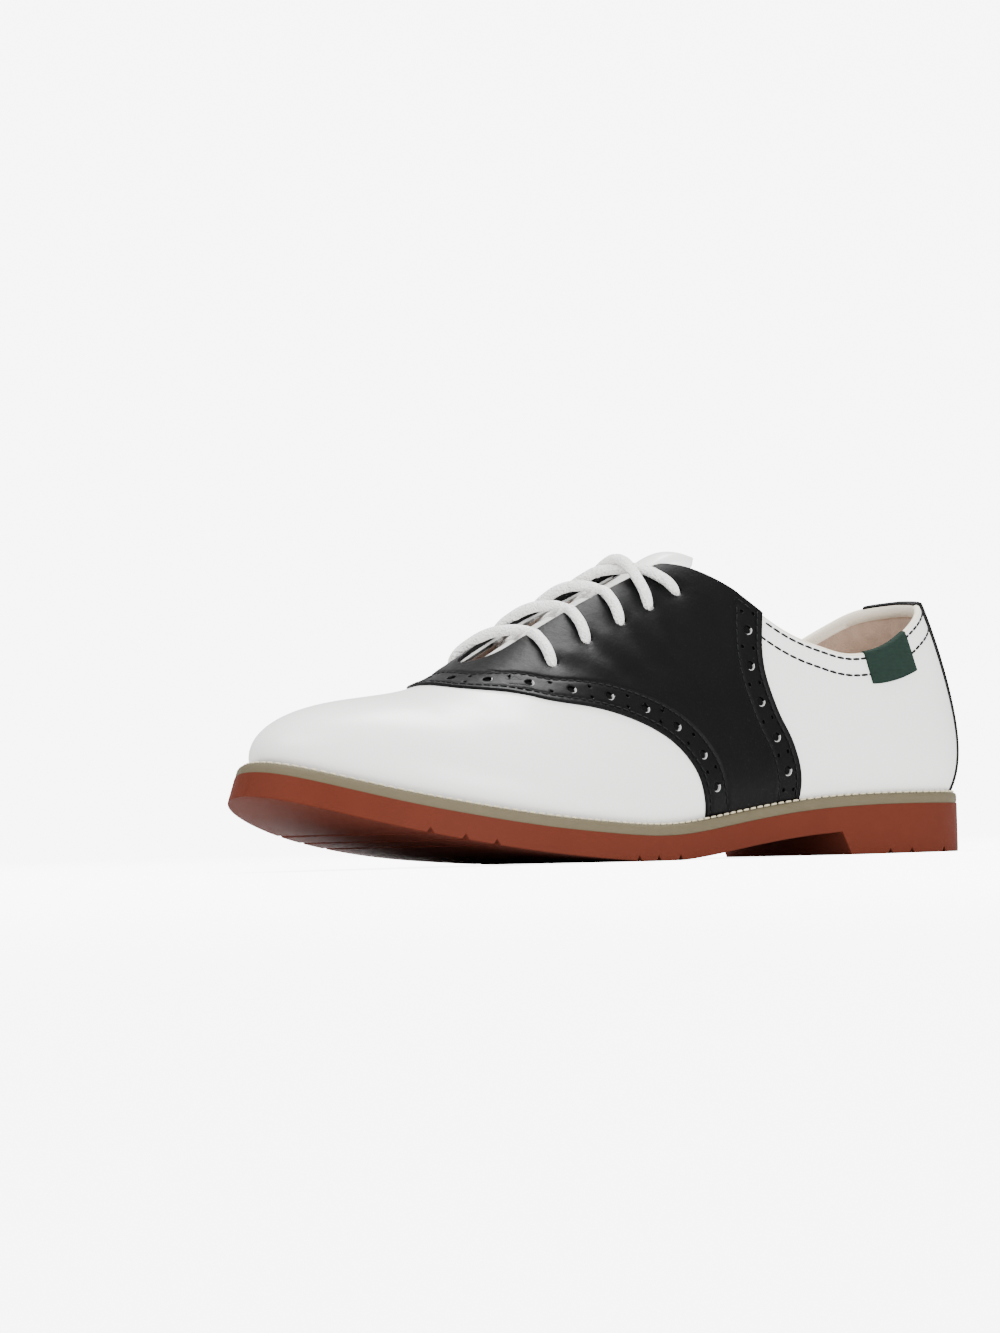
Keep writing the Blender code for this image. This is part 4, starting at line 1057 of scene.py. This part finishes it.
# The footbed, raised a little round the heel
outline = inset(FEATHER, UPPER_WALL + 0.0003)
share = np.linspace(0, 1, OUTLINE_POINTS)
eased = (1 - np.cos(np.linspace(0, math.pi, 90))) / 2
stations = outline[:, 0].min() + 0.0006 + (np.ptp(outline[:, 0]) - 0.0012) * eased
lat, med = (np.interp(stations, half[0](share), half[1](share)) for half in half_curves(outline))
spread = np.linspace(-1, 1, 40)[None, :]
across = (lat + med)[:, None] / 2 + spread * (lat - med)[:, None] / 2
rise = FOOTBED_TOP + 0.0012 * np.abs(spread) ** 4 * np.clip((0.09 - stations) / 0.05, 0, 1)[:, None]
panel("footbed", [(on_plate(stations[:, None], across, rise), False, None)], 0.0004, 0.0050,
      FOOTBED, "insole")


def area_light(name, place, width, height, power):
    # A softbox that faces the shoe
    data = bpy.data.lights.new(name, "AREA")
    data.energy = power
    data.shape = "RECTANGLE"
    data.size, data.size_y = width, height
    thing = add_thing(name, data)
    thing.location = place
    thing.rotation_mode = "QUATERNION"
    thing.rotation_quaternion = (Vector(LIT_POINT) - Vector(place)).to_track_quat("-Z", "Y")


FLOOR = material("studio_floor", (0.72, 0.72, 0.72), 0.9, [("noise", 30, 0.02, 0.0005)],
                 0.004, 4, specular=0.0)
# The backdrop glows for the camera only, as a lit studio wall that is cut out of the picture
floor_nodes, floor_links = FLOOR.node_tree.nodes, FLOOR.node_tree.links
seen = floor_nodes.new("ShaderNodeLightPath")
glow = floor_nodes.new("ShaderNodeMath")
glow.operation = "MULTIPLY"
glow.inputs[1].default_value = 6.6
floor_links.new(seen.outputs["Is Camera Ray"], glow.inputs[0])
floor_shader = floor_nodes["Principled BSDF"]
floor_shader.inputs["Emission Color"].default_value = (1, 1, 1, 1)
floor_links.new(glow.outputs[0], floor_shader.inputs["Emission Strength"])

# The camera, fitted to the photo's outline
AZ, EL, ROLL = (math.radians(v) for v in (51.875, -1.193, 1.607))
right = np.array((math.cos(AZ), math.sin(AZ), 0.0))
back = np.array((math.sin(AZ) * math.cos(EL), -math.cos(AZ) * math.cos(EL), math.sin(EL)))
upward = np.cross(back, right)
place = (-33.93 * right + 63.64 * upward + 2426 * back) / 1000 + np.array((ACROSS_SHIFT, 0, 0))
cam_x = math.cos(ROLL) * right - math.sin(ROLL) * upward
cam_y = math.sin(ROLL) * right + math.cos(ROLL) * upward
camera_data = bpy.data.cameras.new("camera")
camera_data.sensor_fit = "VERTICAL"
camera_data.sensor_height = 36.0
camera_data.lens = 204.03
camera_data.clip_start, camera_data.clip_end = 0.05, 100
camera = add_thing("camera", camera_data)
turn = Matrix([list(row) for row in np.stack([cam_x, cam_y, back], 1)]).to_4x4()
turn.translation = Vector(place)
camera.matrix_world = turn
bpy.context.scene.camera = camera

# The backdrop: a floor that curves up into a wall behind the shoe
away = unit(-back * np.array((1, 1, 0)))
profile = [(1.6 + math.sin(t), 1.0 - math.cos(t)) for t in np.linspace(0, math.pi / 2, 24)]
profile = [(-4.0, 0.0), *profile, (2.6, 5.0)]
points = [tuple(right * x + away * ahead + np.array((0, 0, height)))
          for x in (-6.0, 6.0) for ahead, height in profile]
count = len(profile)
faces = [(k, k + 1, count + k + 1, count + k) for k in range(count - 1)]
mesh = bpy.data.meshes.new("studio_sweep")
mesh.from_pydata(points, [], faces)
mesh.materials.append(FLOOR)
mesh.shade_smooth()
add_thing("studio_sweep", mesh)

world = bpy.data.worlds.new("studio")
bpy.context.scene.world = world
world.use_nodes = True
world.node_tree.nodes["Background"].inputs["Color"].default_value = (1, 1, 1, 1)
world.node_tree.nodes["Background"].inputs["Strength"].default_value = 1.15
LIT_POINT = (0.0, 0.0, 0.05)
area_light("key_softbox", -right * 0.9 + back * 0.5 + np.array((0, 0, 1.25)), 1.0, 0.8, 27)
area_light("top_softbox", (-0.25, 0.45, 1.35), 0.6, 0.6, 34)
area_light("front_softbox", right * 0.75 + back * 1.2 + np.array((0, 0, 0.40)), 0.8, 0.8, 30)
